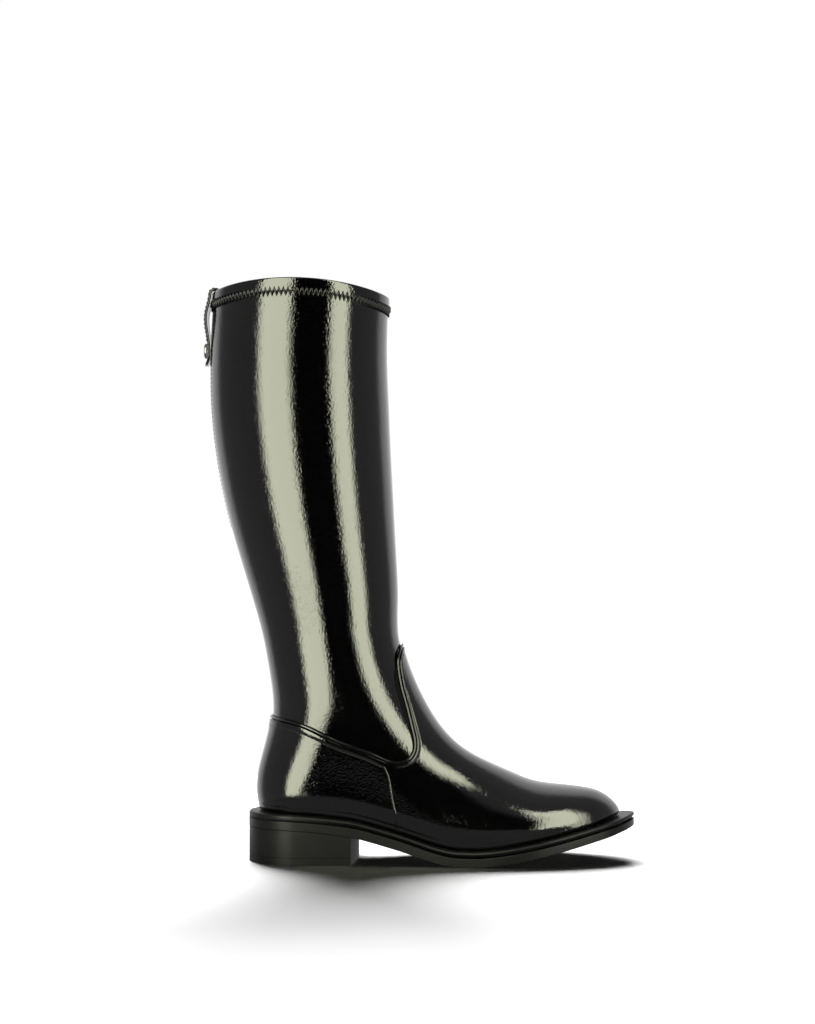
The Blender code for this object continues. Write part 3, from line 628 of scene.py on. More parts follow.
RIDGE_LINE = smooth_line(ridge_rows)


class Skin:
    """The surface that lies a set distance outside the last and leg, over the side view."""

    def __init__(self, outset):
        self.outset = outset
        self.back = self.moved(BACK_LINE)
        self.ridge = self.moved(RIDGE_LINE)
        self.tip = TOE_TIP + outset
        self.nose = TOE_CURVE - WELT_LEDGE / 2 + outset

    def moved(self, line):
        """The line moved square to itself by the outset, to its left."""
        ways = unit(np.gradient(line[:, :2], axis=0))
        moved = line.copy()
        moved[:, 0] -= self.outset * ways[:, 1]
        moved[:, 1] += self.outset * ways[:, 0]
        moved[:, 2] += self.outset
        return moved

    @staticmethod
    def nearness(points, line):
        """1 on the line, falling to 0 where the rounding behind it ends."""
        gaps, shares = gaps_to(points, line[:, :2])
        nearest = gaps.argmin(axis=1)
        rows = np.arange(len(points))
        depth = line[nearest, 2] + shares[rows, nearest] * (line[nearest + 1, 2] - line[nearest, 2])
        return np.clip(1 - gaps[rows, nearest] / depth, 0.0, 1.0)

    def ring(self, path):
        """The ring round the boot over a line of the side view, outer side first."""
        x, z = path[:, 0], path[:, 1]
        toe = np.clip(1 - (self.tip - x) / self.nose, 0.0, 1.0)
        near = self.nearness(path, self.back) ** 2 + self.nearness(path, self.ridge) ** 2
        round_off = np.sqrt(np.clip(1 - near - toe**2, 0.0, 1.0))
        round_off[[0, -1]] = 0.0
        ankle_share = eased((z - feather(x) - LEG_START * ANKLE_RISE) / (LEG_RUN * ANKLE_RISE))
        swelling = np.sin(np.clip((z - feather(x)) / SWELL_HEIGHT, 0.0, 1.0) * math.pi / 2)
        halves = []
        for edge, swell in ((outer_edge, outer_swell), (inner_edge, inner_swell)):
            foot = edge(x) - WELT_LEDGE - UPPER_WALL - CLEARANCE + swell(x) * swelling
            leg = leg_breadth(np.maximum(z, ANKLE))
            halves.append(foot + ankle_share * (leg - foot) + self.outset)
        centre = middle(x)
        outer = centre - (halves[0] + centre) * round_off
        inner = centre + (halves[1] - centre) * round_off
        return two_sided(x, outer, inner, z)

    def back_at(self, height):
        return np.array([np.interp(height, self.back[:, 1], self.back[:, 0]), height])

    def front_at(self, height):
        return np.array([np.interp(height, self.ridge[::-1, 1], self.ridge[::-1, 0]), height])

    def front_line(self, start, peak):
        """The front outline from one height at the toe's tip over the vamp to another."""
        vamp = self.ridge[self.ridge[:, 1] < ANKLE]
        turn = np.linspace(0.0, math.pi / 2, NOSE_POINTS)
        x = self.tip - self.nose * (1 - np.cos(turn))
        depth = np.interp(x, vamp[:, 0], vamp[:, 2])
        heights = np.interp(x, vamp[:, 0], vamp[:, 1]) - depth * (1 - np.sin(turn))
        nose = np.stack([x, heights], axis=1)
        first = [np.interp(start, heights, x), start]
        over = vamp[::-1, :2]
        over = over[(over[:, 0] < x[-1]) & (over[:, 1] < peak)]
        return np.concatenate([[first], nose[heights > start], over, [self.front_at(peak)]])

    def edge_path(self, shares, move=0.0, lapped=False):
        """The upper's top edge over the side view, or a line beside it, below it if negative."""
        rows = [(row.along * SOLE_LENGTH, SEAT + row.rise * EDGE_PEAK_RISE) for row in EDGE_LINE]
        rows = [self.back_at(SEAT + EDGE_BACK_RISE), *rows, self.front_at(SEAT + EDGE_PEAK_RISE)]
        rows = np.array(rows)
        laps = np.array([1.0, *[row.lap for row in EDGE_LINE], 1.0]) if lapped else 1.0
        ways = unit(np.gradient(rows, axis=0))
        rows = rows + (move * laps * np.stack([-ways[:, 1], ways[:, 0]])).T
        rows[0] = self.back_at(SEAT + EDGE_BACK_RISE + move)
        rows[-1] = self.front_at(SEAT + EDGE_PEAK_RISE + move)
        run = run_of(rows)
        lowest = min(EDGE_LINE, key=lambda row: row.rise)
        corner = run[1 + EDGE_LINE.index(lowest)]
        where = np.interp(shares, [0.0, EDGE_TURN, 1.0], [0.0, corner, run[-1]])
        return np.stack([natural(run, values)(where) for values in rows.T], axis=1)


def paths_between(bottom, top, backs, fronts, levels, shares, grip):
    """Side-view lines from a bottom to a top one, bent near their ends onto two outlines."""
    paths = []
    for level_share, back, front in zip(levels, backs, fronts):
        path = (1 - level_share) * bottom + level_share * top
        to_back = np.outer((1 - shares) ** grip, back - path[0])
        to_front = np.outer(shares**grip, front - path[-1])
        paths.append(path + to_back + to_front)
    return paths


def upper_rings(skin, shares, levels):
    """Rings of the upper from just above the welt to its top edge."""
    low = SEAT + TURN_ROUND
    front = skin.front_line(float(feather(skin.tip)) + TURN_ROUND, SEAT + EDGE_PEAK_RISE)
    x = skin.back_at(low)[0] + shares * (front[0, 0] - skin.back_at(low)[0])
    bottom = np.stack([x, feather(x) + TURN_ROUND], axis=1)
    backs = [skin.back_at(height) for height in low + levels * (EDGE_BACK_RISE - TURN_ROUND)]
    fronts = along_line(front, levels)
    paths = paths_between(bottom, skin.edge_path(shares), backs, fronts, levels, shares, UPPER_GRIP)
    return np.array([skin.ring(path) for path in paths])


def below_edge(rings, distances, levels):
    """The rings taken again at set distances below the top one, then by levels to the lowest."""
    edge = np.concatenate([rings[-1], rings[-1, :1]])
    columns = []
    for line in rings[::-1].transpose(1, 0, 2):
        gaps = gaps_to(line, edge)[0].min(axis=1)
        run = run_of(line)
        near = np.interp(distances, np.maximum.accumulate(gaps), run)
        where = np.concatenate([near, near[-1] + levels[1:] * (run[-1] - near[-1])])
        columns.append(np.stack([np.interp(where, run, c) for c in line.T], axis=1))
    return np.stack(columns, axis=1)[::-1]


def ways_out(rings):
    """The way out of the surface at each point of its rings."""
    round_it = np.roll(rings, -1, axis=1) - np.roll(rings, 1, axis=1)
    out = np.cross(round_it, np.gradient(rings, axis=0))
    return out / np.linalg.norm(out, axis=2, keepdims=True)


def relief_of(rows, distance):
    """The height of a relief at a distance below the edge: a soft ridge or groove for each row."""
    return sum(row.height * np.exp(-(((distance - row.at) / row.width) ** 2)) for row in rows)


def drawn_in(ring, distance, height, rise=0.0):
    """The ring moved square to itself in plan, towards its middle, and set to a height."""
    ways = unit(np.roll(ring[:, :2], -1, axis=0) - np.roll(ring[:, :2], 1, axis=0))
    plan = ring[:, :2] + distance * np.stack([-ways[:, 1], ways[:, 0]], axis=1)
    return np.column_stack([plan, height(plan[:, 0]) + rise])


patent, place = new_look("black_patent", Base_Color=PATENT_BLACK, IOR=PATENT_IOR)
grain = place.noise(GRAIN_SCALE, 1.5) + place.noise(GRAIN_SCALE / 5, 1.0) * 0.5
dress(
    patent,
    Roughness=place.noise(SHEEN_SCALE, 3.0).between(*PATENT_ROUGHNESS),
    Normal=place.bumped(grain, GRAIN_DEPTH),
)
lining, place = new_look(
    "black_lining", Base_Color=LINING_BLACK, Roughness=LINING_ROUGHNESS, IOR=LINING_IOR
)
dress(lining, Normal=place.bumped(place.noise(LINING_SCALE, 2.0), LINING_DEPTH))

side_shares = cosine_steps(UPPER_STEPS)
ring_shares = np.concatenate([side_shares, side_shares[-2:0:-1]])
upper_skin = Skin(CLEARANCE + UPPER_WALL)
dense = upper_rings(upper_skin, side_shares, np.linspace(0.0, 1.0, DENSE_LEVELS + 1))
outside = below_edge(dense, EDGE_ROWS, np.linspace(0.0, 1.0, UPPER_LEVELS + 1))
distance = np.concatenate([np.full(UPPER_LEVELS, 1.0), EDGE_ROWS[::-1]])[:, None]
on_vamp = eased((ring_shares - EDGE_TURN + VAMP_BLEND / 2) / VAMP_BLEND)[None]
on_counter = eased((SEAM_TURN - ring_shares) / COUNTER_BLEND)[None]
relief = on_vamp * relief_of(VAMP_RELIEF, distance)
relief = relief + on_counter * relief_of(COUNTER_RELIEF, distance)
relief = relief + relief_of(EDGE_RELIEF, distance)
outside_ways = ways_out(outside)
outside += relief[..., None] * outside_ways
inside = upper_rings(Skin(CLEARANCE), side_shares, np.linspace(0.0, 1.0, LINING_LEVELS + 1))
turned = [drawn_in(outside[0], TURN_UNDER, feather)]
for angle in np.linspace(0.0, math.pi / 2, TURN_STEPS + 1)[:-1]:
    inset, rise = TURN_ROUND / 2 * (1 - math.sin(angle)), TURN_ROUND * (1 - math.cos(angle))
    turned.append(drawn_in(outside[0], inset, feather, rise))
inner_turn = [
    drawn_in(inside[0], TURN_ROUND / 10, feather, UPPER_WALL),
    drawn_in(inside[0], TURN_UNDER - UPPER_WALL, feather, UPPER_WALL),
]
rings = [*turned, *outside, *inside[::-1], *inner_turn]
lined = range(len(turned) + len(outside), len(rings))
upper = wrapped(rings, "hollow", second=lined)
finished("lasted_upper", upper, [patent, lining], "patent", "upper", fine=1)

# Stitching of the upper: waxed black thread. One row runs round the heel along the counter's
# edge, and one over the shin in the groove behind the vamp's fold.
STITCH_PITCH = 0.003
STITCH_HALVES = (0.0004, 0.0003, 0.0009)
STITCH_SIDES = 6
STITCH_RINGS = 5
THREAD_BLACK = (0.003, 0.003, 0.003, 1.0)
THREAD_ROUGHNESS = (0.12, 0.27)
THREAD_IOR = 1.4
THREAD_SCALE = 900.0

thread, place = new_look("waxed_thread", Base_Color=THREAD_BLACK, IOR=THREAD_IOR)
dress(thread, Roughness=place.noise(THREAD_SCALE, 1.0).between(*THREAD_ROUGHNESS))


def sew(mesh, line, out):
    """Adds a row of stitches to a mesh along a line, square to the ways out along it."""
    run = run_of(line)
    steps = (-STITCH_PITCH / 4, 0.0, STITCH_PITCH / 4)
    for at in np.arange(STITCH_PITCH / 2, run[-1], STITCH_PITCH):
        start, place, end = [
            Vector([np.interp(at + step, run, c) for c in line.T]) for step in steps
        ]
        along = (end - start).normalized()
        across = Vector([np.interp(at, run, c) for c in out.T]).cross(along).normalized()
        turned = Matrix((across, along.cross(across), along)).transposed().to_4x4()
        placed = Matrix.Translation(place - Vector((HEEL_CENTRE, 0.0, 0.0))) @ turned
        placed = placed @ Matrix.Diagonal((*STITCH_HALVES, 1.0))
        bmesh.ops.create_uvsphere(
            mesh, u_segments=STITCH_SIDES, v_segments=STITCH_RINGS, radius=1.0, matrix=placed
        )


stitches = bmesh.new()
seam_step = int(np.searchsorted(side_shares, SEAM_TURN)) - 1
turn_step = int(np.searchsorted(side_shares, EDGE_TURN))
rows = (
    (COUNTER_STITCH, -seam_step, seam_step),
    (VAMP_STITCH, turn_step, len(ring_shares) - turn_step),
)
for row, first, last in rows:
    row_level = len(outside) - 1 - EDGE_ROWS.index(row)
    picked = np.arange(first, last + 1) % len(ring_shares)
    sew(stitches, outside[row_level, picked], outside_ways[row_level, picked])
finished("upper_stitches", stitches, [thread], "patent")

# Insole: a thin padded sock of black textile, cut a little inside the upper. It is glued
# down over the upper's turned-in edge.
INSOLE_THICKNESS = 0.0024
INSOLE_EASE = 0.0014

insole_low = UPPER_WALL + 1.5 * CLEARANCE
low = drawn_in(inside[0], INSOLE_EASE, feather, insole_low)
high = drawn_in(inside[0], INSOLE_EASE, feather, insole_low + INSOLE_THICKNESS)
block("sock_lining", low, high, INSOLE_THICKNESS / 4, [lining], "lining", "insole")

# Shaft: stretch patent, sewn into a tube with a narrow strip down the back and tucked under
# the upper's edge. A folded band, a little proud, finishes the top.
COLLAR_BACK_DROP = 0.0055
COLLAR_FRONT_DROP = 0.009
SHAFT_WALL = 0.0016
SEAM_LAP = 0.008
SKIRT_CLEAR = 0.012
SKIVE = 0.0006
BAND_HEIGHT = 0.0098
BAND_STEP = 0.0008
BAND_CLEAR = 0.0015
LINING_DROP = 0.0006
LEG_GRIP = 1
SHAFT_STEPS = 80
SKIRT_LEVELS = 12
LEG_LEVELS = 60
INNER_LEVELS = 24

Hem = namedtuple("Hem", "below proud")
HEM = [Hem(*row) for row in (
    (0.0003, 0.0), (0.0, 0.5), (-0.0006, 1.0), (-0.002, 1.0), (-0.005, 1.0), (-0.0085, 0.95),
    (-0.0094, 0.6),
)]


def collar_path(skin, drop, shares):
    """The topline of the shaft, or a line a set drop below it."""
    dip = 2 * (COLLAR_BACK_DROP + COLLAR_FRONT_DROP) * (shares - 0.5) ** 2
    dip += (COLLAR_FRONT_DROP - COLLAR_BACK_DROP) * (shares - 0.5)
    heights = BOOT_HEIGHT - dip - drop
    start, end = skin.back_at(heights[0])[0], skin.front_at(heights[-1])[0]
    return np.stack([start + shares * (end - start), heights], axis=1)


def collar_ring(outset, drop, shares):
    """The ring at a set drop below the topline, on the skin of an outset."""
    skin = Skin(outset)
    return skin.ring(collar_path(skin, drop, shares))


def shaft_paths(skin, leg_levels, drop):
    """Side-view lines of the shaft from under the upper's edge to a line below its top."""
    skirt_top = SEAT + EDGE_PEAK_RISE + SKIRT_CLEAR
    start, end = skin.back_at(skirt_top), skin.front_at(skirt_top)
    waist = start + shaft_shares[:, None] * (end - start)
    lap = skin.edge_path(shaft_shares, -SEAM_LAP, lapped=True)
    levels = np.linspace(0.0, 1.0, SKIRT_LEVELS + 1)
    backs = [skin.back_at(height) for height in np.linspace(lap[0, 1], skirt_top, len(levels))]
    fronts = [skin.front_at(height) for height in np.linspace(lap[-1, 1], skirt_top, len(levels))]
    skirt = paths_between(lap, waist, backs, fronts, levels, shaft_shares, UPPER_GRIP)
    collar = collar_path(skin, drop, shaft_shares)
    levels = np.linspace(0.0, 1.0, leg_levels + 1)[1:]
    backs = [skin.back_at(skirt_top + s * (collar[0, 1] - skirt_top)) for s in levels]
    fronts = [skin.front_at(skirt_top + s * (collar[-1, 1] - skirt_top)) for s in levels]
    return skirt + paths_between(waist, collar, backs, fronts, levels, shaft_shares, LEG_GRIP)


shaft_shares = cosine_steps(SHAFT_STEPS)
shaft_skin = Skin(0.0)
paths = shaft_paths(shaft_skin, LEG_LEVELS, BAND_HEIGHT + BAND_CLEAR)
outside = [Skin(-SKIVE).ring(paths[0]), *[shaft_skin.ring(path) for path in paths[1:]]]
for row in HEM:
    outside.append(collar_ring(BAND_STEP * row.proud, BAND_HEIGHT + row.below, shaft_shares))
outside_shaft = outside[: 1 + SKIRT_LEVELS + LEG_LEVELS]
outside.append(collar_ring(-SHAFT_WALL / 2, 0.0, shaft_shares))
skin = Skin(-SHAFT_WALL)
paths = shaft_paths(skin, INNER_LEVELS, LINING_DROP)
inside = [skin.ring(path) for path in paths]
rings = [*outside, *inside[::-1]]
shaft = wrapped(rings, "hollow", second=range(len(outside), len(rings)))
finished("leg_shaft", shaft, [patent, lining], "patent", "shaft", fine=1)

# Edge piping: a thin cord wrapped in a strip of patent. It is caught in the seam along the
# upper's top edge and runs all round.
PIPING_RADIUS = 0.0008
PIPING_CLEARANCE = 0.00065
EDGE_STEPS = 150


def tube(name, points, radius, look, slot, *nodes, cyclic=True, sides=3):
    """A round cord along points, as a bevelled curve."""
    curve = bpy.data.curves.new(name, "CURVE")
    curve.dimensions = "3D"
    curve.bevel_depth = radius
    curve.bevel_resolution = sides
    curve.use_fill_caps = True
    spline = curve.splines.new("POLY")
    spline.points.add(len(points) - 1)
    spline.use_cyclic_u = cyclic
    for point, (x, y, z) in zip(spline.points, points):
        point.co = (x - HEEL_CENTRE, y, z, 1.0)
    spline.use_smooth = True
    curve.materials.append(look)
    mounted(linked(name, curve), nodes)


piping_lift = PIPING_CLEARANCE + PIPING_RADIUS
piping_skin = Skin(piping_lift)
edge_shares = cosine_steps(EDGE_STEPS)
piping_points = piping_skin.ring(piping_skin.edge_path(edge_shares, piping_lift))
tube("edge_cord", piping_points, PIPING_RADIUS, patent, "patent", "edge_piping")

# Seam tape: a flat strip of matt black elastic on the shaft behind the piping, sewn in with
# the upper's edge and widest beside the vamp. Its dull black is partly painted shade: it also
# stands for the dark gap beside the upper's proud edge.
TAPE_LIFT = 0.0003
TAPE_START = 0.0004
TAPE_COUNTER = 0.0023
TAPE_VAMP = 0.0052
TAPE_WIDENING = 0.2
TAPE_PINCH = 1.4
TAPE_PINCH_START = 0.86


def beside_edge(skin, distance):
    """The ring that runs at a distance above the upper's edge."""
    return skin.ring(skin.edge_path(edge_shares, distance))


ring_turns = np.concatenate([edge_shares, edge_shares[-2:0:-1]])[:, None]
widening = eased((ring_turns - EDGE_TURN) / TAPE_WIDENING)
pinched = eased((ring_turns - TAPE_PINCH_START) / (1 - TAPE_PINCH_START))
widening *= 1 - TAPE_PINCH * pinched
tape_skin = Skin(TAPE_LIFT)

tape_rings = [beside_edge(tape_skin, TAPE_START)]
for skin in (tape_skin, shaft_skin):
    narrow, wide = beside_edge(skin, TAPE_COUNTER), beside_edge(skin, TAPE_VAMP)
    tape_rings.append(narrow + widening * (wide - narrow))
finished("edge_tape_and_shade", wrapped(tape_rings, "open"), [lining], "patent")

# Side seams: a narrow raised welt of patent on each side, where counter and vamp are sewn
# together. It runs from the upper's edge down to the sole's welt.
SEAM_RADIUS = 0.0009
SEAM_SINK = 0.0003
SEAM_POINTS = 40

SeamPoint = namedtuple("SeamPoint", "x z")
SIDE_SEAM = [SeamPoint(*row) for row in (
    (0.0954, 0.0687), (0.0982, 0.0622), (0.1, 0.053), (0.1012, 0.0455), (0.103, 0.0377),
    (0.1042, 0.0262),
)]


def on_side(skin, points, inner):
    """Points of the side view set on the outer or the inner side of a skin."""
    count = len(points)
    ring = skin.ring(np.concatenate([points[:1], points, points[-1:]]))
    return ring[count + 2 :][::-1] if inner else ring[1 : count + 1]


seam_line = smooth_line(SIDE_SEAM)
seam_points = along_line(seam_line, np.linspace(0.0, 1.0, SEAM_POINTS))
seam_skin = Skin(CLEARANCE + UPPER_WALL - SEAM_SINK)
for name, inner in (("outer_seam", False), ("inner_seam", True)):
    line = on_side(seam_skin, seam_points, inner)
    tube(name, line, SEAM_RADIUS, patent, "patent", cyclic=False)

# Collar zigzag: black glossy thread, sewn by machine over the lower edge of the collar's
# folded band, all round.
ZIGZAG_RADIUS = 0.00062
ZIGZAG_PITCH = 0.0032
ZIGZAG_SHOW = 0.7
ZIGZAG_STEPS = 200

ZigzagLine = namedtuple("ZigzagLine", "drop lift")
ZIGZAG_LINES = [ZigzagLine(*row) for row in (
    (0.0127, 0.0), (0.0104, 0.0), (0.0095, BAND_STEP), (0.0070, BAND_STEP),
)]
Stroke = namedtuple("Stroke", "line way")
STROKES = [Stroke(*row) for row in (
    (0, 0.0), (1, 0.20), (2, 0.28), (3, 0.5), (2, 0.72), (1, 0.80),
)]

zigzag_shares = cosine_steps(ZIGZAG_STEPS)
zigzag_rings = []
for row in ZIGZAG_LINES:
    ring = collar_ring(row.lift + ZIGZAG_RADIUS * ZIGZAG_SHOW, row.drop, zigzag_shares)
    zigzag_rings.append(np.concatenate([ring, ring[:1]]))
zigzag_runs = [run_of(ring) for ring in zigzag_rings]
zigzag_count = round(zigzag_runs[0][-1] / ZIGZAG_PITCH)
zigzag = []
for number in range(zigzag_count):
    for row in STROKES:
        ring, run = zigzag_rings[row.line], zigzag_runs[row.line]
        share = (number + row.way) / zigzag_count
        zigzag.append([np.interp(share, run / run[-1], c) for c in ring.T])
tube("collar_zigzag", zigzag, ZIGZAG_RADIUS, thread, "patent", sides=1)

# Back strip: a narrow strip of patent over the back seam, wider towards the collar. The two
# rows of thread that hold its edges down are made here.
STRIP_LOW = 0.232
STRIP_HALVES = (0.003, 0.0128)
STRIP_FLARE = 1.4
STRIP_POINTS = 30

shaft_rings = np.array(outside_shaft)
shaft_ways = ways_out(shaft_rings)
strip_high = BOOT_HEIGHT - COLLAR_BACK_DROP - ZIGZAG_LINES[0].drop
steps = np.arange(STRIP_POINTS)
strip = bmesh.new()
for side in (-1, 1):
    line, out = [], []
    for ring, way in zip(shaft_rings, shaft_ways):
        height = ring[0, 2]
        if height < STRIP_LOW or height > strip_high:
            continue
        up = (height - STRIP_LOW) / (BOOT_HEIGHT - STRIP_LOW)
        half = STRIP_HALVES[0] + (STRIP_HALVES[1] - STRIP_HALVES[0]) * eased(up * STRIP_FLARE)
        picked = -side * steps % len(ring)
        at = np.interp(half, np.abs(ring[picked, 1]), steps)
        line.append([np.interp(at, steps, c) for c in ring[picked].T])
        out.append([np.interp(at, steps, c) for c in way[picked].T])
    sew(strip, np.array(line), np.array(out))
finished("strip_stitches", strip, [thread], "patent")

# Pull tab: a patent strap folded over the back of the collar and sewn down inside it, with
# painted edges. A plain domed stud holds its outer end.
TAB_WIDTH = 0.022
TAB_THICKNESS = 0.0022
TAB_OUTSIDE = 0.054
TAB_INSIDE = 0.026
TAB_LIFT_OUT = 0.0035
TAB_LIFT_IN = 0.0016
TAB_BOW_DROP = 0.017
TAB_BOW_BACK = 0.0021
TAB_TURN = 0.0012
TAB_CLEAR = 0.0009
TAB_END = 0.001
TAB_FLARE = 0.0012
TAB_FLARE_RUN = 0.005
STUD_RADIUS = 0.0054
STUD_HEIGHT = 0.002
STUD_DROP = 0.041
STUD_SIDES = 48
METAL_GREY = (0.2, 0.2, 0.2, 1.0)
METAL_ROUGHNESS = (0.18, 0.28)
METAL_SCALE = 400.0
TAB_TOP = BOOT_HEIGHT - COLLAR_BACK_DROP
TAB_STITCH = 0.0022
TAB_CROSS = 0.033
TAB_OUTER_POINTS = 36
TAB_INNER_POINTS = 18
TAB_ARCH_POINTS = 17
TAB_ACROSS_POINTS = 13
TAB_CROSS_POINTS = 9
TAB_SEWN = slice(7, 44)
TAB_EDGE_THINNING = 0.45
TAB_EDGE_POWER = 8

StudStep = namedtuple("StudStep", "out share")
STUD_PROFILE = [StudStep(*row) for row in (
    (0.0, 0.97), (0.08, 1.0), (0.4, 1.0), (0.62, 0.96), (0.8, 0.86), (0.93, 0.66), (1.0, 0.3),
)]


def collar_bow(y):
    """How far the back of the collar has curved forward at a distance from its middle."""
    return COLLAR_DEPTH / 2 * (1 - np.sqrt(1 - (2 * y / COLLAR_BREADTH) ** 2))


seat = CLEARANCE + TAB_THICKNESS / 2
turn = TAB_TOP - TAB_TURN
outer_run = []
tab_end = TAB_TOP - TAB_OUTSIDE + TAB_THICKNESS
for height in np.linspace(tab_end, turn, TAB_OUTER_POINTS):
    lift = TAB_LIFT_OUT * eased((height - (TAB_TOP - STUD_DROP)) / (STUD_DROP - TAB_BOW_DROP))
    lift -= TAB_BOW_BACK * eased((height - (TAB_TOP - TAB_BOW_DROP)) / (TAB_BOW_DROP - TAB_TURN))
    lift += TAB_FLARE * eased(1 - (height - tab_end) / TAB_FLARE_RUN)
    outer_run.append((shaft_skin.back_at(height)[0] - seat - lift, height))
inner_run = []
for height in np.linspace(turn, TAB_TOP - TAB_INSIDE, TAB_INNER_POINTS):
    lift = TAB_LIFT_IN * eased((height - (TAB_TOP - TAB_INSIDE)) / (TAB_INSIDE - TAB_TURN))
    inner_run.append((shaft_skin.back_at(height)[0] + SHAFT_WALL + seat + lift, height))
tab_back, tab_front = outer_run[-1][0], inner_run[0][0]
centre, radius = (tab_back + tab_front) / 2, (tab_front - tab_back) / 2
rise = TAB_TURN + TAB_CLEAR + TAB_THICKNESS / 2
arch = [
    (centre + radius * math.cos(angle), turn + rise * math.sin(angle))
    for angle in np.linspace(math.pi, 0.0, TAB_ARCH_POINTS)[1:-1]
]
tab_path = np.array(outer_run + arch + inner_run)
run = run_of(tab_path)
ways = unit(np.gradient(tab_path, axis=0))
across = np.linspace(-1.0, 1.0, TAB_ACROSS_POINTS)
thickness = TAB_THICKNESS / 2 * (1 - TAB_EDGE_THINNING * across**TAB_EDGE_POWER)
tab_rings = []
for (x, z), way, reach in zip(tab_path, ways, np.minimum(run, run[-1] - run)):
    near = max(0.0, 1 - (reach + TAB_END) / (TAB_WIDTH / 2))
    y = TAB_WIDTH / 2 * math.sqrt(1 - near**2) * across
    faces = []
    for move in (thickness, -thickness):
        bowed = x - move * way[1] + collar_bow(y)
        faces.append(np.stack([bowed, y, z + move * way[0]], axis=1))
    tab_rings.append(np.concatenate([faces[0], faces[1][::-1]]))
finished("back_tab", wrapped(tab_rings, "capped"), [patent], "patent", "pull_tab")

tab_stitches = bmesh.new()
outer_face = np.array([
    (x - TAB_THICKNESS / 2 * way[1], 0.0, z + TAB_THICKNESS / 2 * way[0])
    for (x, z), way in zip(tab_path, ways)
])
outer_out = np.array([(-way[1], 0.0, way[0]) for way in ways])
sewn_half = TAB_WIDTH / 2 - TAB_STITCH
for y in (-sewn_half, sewn_half):
    line = outer_face[TAB_SEWN] + (collar_bow(y), y, 0.0)
    sew(tab_stitches, line, outer_out[TAB_SEWN])
height = TAB_TOP - TAB_CROSS
across = np.linspace(-1.0, 1.0, TAB_CROSS_POINTS) * sewn_half
climb = outer_face[:TAB_OUTER_POINTS]
x = np.interp(height, climb[:, 2], climb[:, 0])
line = np.stack([x + collar_bow(across), across, np.full(len(across), height)], axis=1)
sew(tab_stitches, line, np.tile((-1.0, 0.0, 0.0), (len(across), 1)))
finished("tab_stitches", tab_stitches, [thread], "patent")

dark_metal, place = new_look("dark_metal", Base_Color=METAL_GREY, Metallic=1.0)
dress(dark_metal, Roughness=place.noise(METAL_SCALE, 2.0).between(*METAL_ROUGHNESS))
height = TAB_TOP - STUD_DROP
climb = tab_path[:TAB_OUTER_POINTS]
stud_x = np.interp(height, climb[:, 1], climb[:, 0]) - TAB_THICKNESS / 2 - CLEARANCE
turns = np.linspace(0.0, 2 * math.pi, STUD_SIDES, endpoint=False)
stud_rings = []
for row in STUD_PROFILE:
    x = np.full(STUD_SIDES, stud_x - row.out * STUD_HEIGHT)
    radius = row.share * STUD_RADIUS
    y, z = radius * np.cos(turns), height + radius * np.sin(turns)
    stud_rings.append(np.stack([x, y, z], axis=1))
stud = wrapped(stud_rings, "capped")
finished("tab_button", stud, [dark_metal], "stud", "tab_stud")

# Studio: the boot stands on a round white table before a white wall. Two tall softboxes
# beside the camera give the long reflections, and a panel behind lights the table. A low
# black card keeps them off the waist of the foot. A dim glowing disc on the table, seen only
# in reflections, is a painted floor reflection: the grey band low on the boot.
CAMERA_PLACE = (0.0754, -1.5, 0.225)
CAMERA_PITCH = math.radians(90.756)
LENS = 74.6
SENSOR = 36.0
BOOT_MIDDLE = (0.0754, 0.0)
SOFTBOX_DISTANCE = 1.2
SOFTBOX_LOW = -0.33
SOFTBOX_HIGH = 1.7
SOFTBOX_GLOW = 12.5
SOFTBOX_COLOUR = (0.97, 1.0, 0.76)
LEFT_SOFTBOX = (-46.6, -12.4)
RIGHT_SOFTBOX = (32.6, 56.0)
PANEL_PLACE = (-0.2, 2.1, 2.4)
PANEL_SIZE = 2.0
PANEL_GLOW = 24.0
TABLE_RADIUS = 0.55
REFLECTION_DISC_RADIUS = 0.2
TABLE_DROP = 0.0001
REFLECTION_DISC_GLOW = 0.3
TABLE_SIDES = 128
TABLE_WHITE = (0.9, 0.9, 0.9, 1.0)
BLACK = (0.0, 0.0, 0.0, 1.0)
WHITE = (1.0, 1.0, 1.0, 1.0)
CARD_LEFT = -0.045
CARD_RIGHT = 0.09
CARD_TOP = 0.04
CARD_LOW = -0.25
CARD_PLACE = -0.27
WALL_GLOW = 1.3
WALL_START = 0.28
WALL_FULL = 0.6
AMBIENT = 0.01
ROOM_GLOW = 0.36
ROOM_START = 0.68
ROOM_END = 0.82
GAP_AZIMUTH = math.radians(10.0)


def lamp(name, place, target, width, height, glow):
    """An area light of an even glow that faces a target."""
    light = bpy.data.lights.new(name, "AREA")
    light.shape = "RECTANGLE"
    light.size = width
    light.size_y = height
    light.energy = glow * math.pi * width * height
    made = linked(name, light)
    made.location = place
    made.rotation_euler = (Vector(target) - Vector(place)).to_track_quat("-Z", "Y").to_euler()
    made.visible_camera = False
    return made


softbox_middle = (SOFTBOX_LOW + SOFTBOX_HIGH) / 2
for name, (start, end) in (("left_softbox", LEFT_SOFTBOX), ("right_softbox", RIGHT_SOFTBOX)):
    azimuth = math.radians((start + end) / 2)
    width = 2 * SOFTBOX_DISTANCE * math.tan(math.radians((end - start) / 2))
    x = BOOT_MIDDLE[0] + SOFTBOX_DISTANCE * math.sin(azimuth)
    y = BOOT_MIDDLE[1] - SOFTBOX_DISTANCE * math.cos(azimuth)
    place, target = (x, y, softbox_middle), (*BOOT_MIDDLE, softbox_middle)
    softbox = lamp(name, place, target, width, SOFTBOX_HIGH - SOFTBOX_LOW, SOFTBOX_GLOW)
    softbox.data.color = SOFTBOX_COLOUR
    softbox.visible_diffuse = False
panel = lamp("back_panel", PANEL_PLACE, (*BOOT_MIDDLE, 0.0), PANEL_SIZE, PANEL_SIZE, PANEL_GLOW)
panel.visible_glossy = False


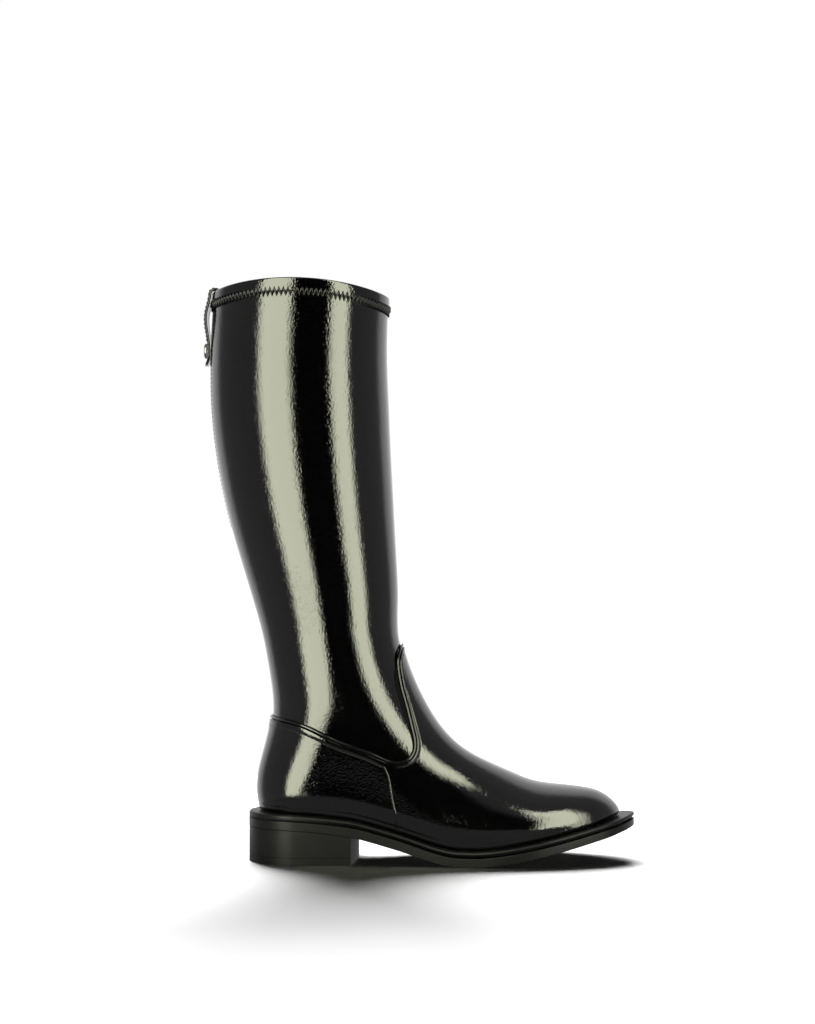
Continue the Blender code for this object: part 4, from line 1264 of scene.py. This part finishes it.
def round_table(name, radius, height, look):
    """A round top under the boot, at a height."""
    mesh = bmesh.new()
    bmesh.ops.create_circle(mesh, cap_ends=True, segments=TABLE_SIDES, radius=radius)
    bmesh.ops.translate(mesh, verts=mesh.verts, vec=(*BOOT_MIDDLE, height))
    made = meshed(name, mesh, look)
    return made


white, _ = new_look("white_table", Base_Color=TABLE_WHITE, Specular_IOR_Level=0.0)
# A small disc on the table glows dimly and only reflections see it: a painted floor reflection, the
# grey band low on the boot.
grey, _ = new_look(
    "painted_floor_reflection",
    Base_Color=BLACK,
    Roughness=1.0,
    Emission_Color=WHITE,
    Emission_Strength=REFLECTION_DISC_GLOW,
)
table = round_table("white_table", TABLE_RADIUS, -TABLE_DROP, white)
table.visible_glossy = False
floor_reflection_disc = round_table("floor_reflection_disc", REFLECTION_DISC_RADIUS, -TABLE_DROP, grey)
floor_reflection_disc.visible_camera = floor_reflection_disc.visible_diffuse = floor_reflection_disc.visible_shadow = False

black, _ = new_look("black_card", Base_Color=BLACK, Specular_IOR_Level=0.0)
mesh = bmesh.new()
bmesh.ops.create_grid(mesh, x_segments=1, y_segments=1, size=1.0)
for vert in mesh.verts:
    x = CARD_RIGHT if vert.co.x > 0 else CARD_LEFT
    vert.co = (x, CARD_PLACE, CARD_TOP if vert.co.y > 0 else CARD_LOW)
card = meshed("black_card", mesh, black)
card.visible_camera = card.visible_diffuse = card.visible_shadow = False


def faded(wire, start, end, low, high):
    """A soft change from a low to a high value while the wire runs from a start to an end."""
    inputs = {"Value": wire, "From Min": start, "From Max": end, "To Min": low, "To Max": high}
    return wire.node("ShaderNodeMapRange", {"interpolation_type": "SMOOTHSTEP"}, inputs)


world = bpy.data.worlds.new("studio")
world.use_nodes = True
bpy.context.scene.world = world
tree = world.node_tree
background = tree.nodes["Background"]
direction = Wire(tree.nodes.new("ShaderNodeTexCoord").outputs["Generated"])
behind = direction.node("ShaderNodeSeparateXYZ", {}, {0: direction}, output="Y")
wall = faded(behind, WALL_START, WALL_FULL, 0.0, WALL_GLOW)
gap = (math.sin(GAP_AZIMUTH), -math.cos(GAP_AZIMUTH), 0.0)
facing = {0: direction, 1: gap}
turned_to = direction.node("ShaderNodeVectorMath", {"operation": "DOT_PRODUCT"}, facing, "Value")
room = faded(turned_to, ROOM_START, ROOM_END, ROOM_GLOW, 0.0)
seen = direction.node("ShaderNodeLightPath", {}, {}, output="Is Camera Ray")
mirrored = direction.node("ShaderNodeLightPath", {}, {}, output="Is Glossy Ray")
brightness = seen.maths("MAXIMUM", seen, mirrored * seen.maths("MAXIMUM", wall, room) + AMBIENT)
tree.links.new(brightness.socket, background.inputs["Strength"])
background.inputs["Color"].default_value = WHITE

camera_data = bpy.data.cameras.new("camera")
camera_data.lens = LENS
camera_data.sensor_width = SENSOR
camera = linked("camera", camera_data)
camera.location = CAMERA_PLACE
camera.rotation_euler = (CAMERA_PITCH, 0.0, 0.0)
bpy.context.scene.camera = camera
bpy.context.scene.view_settings.view_transform = "Standard"
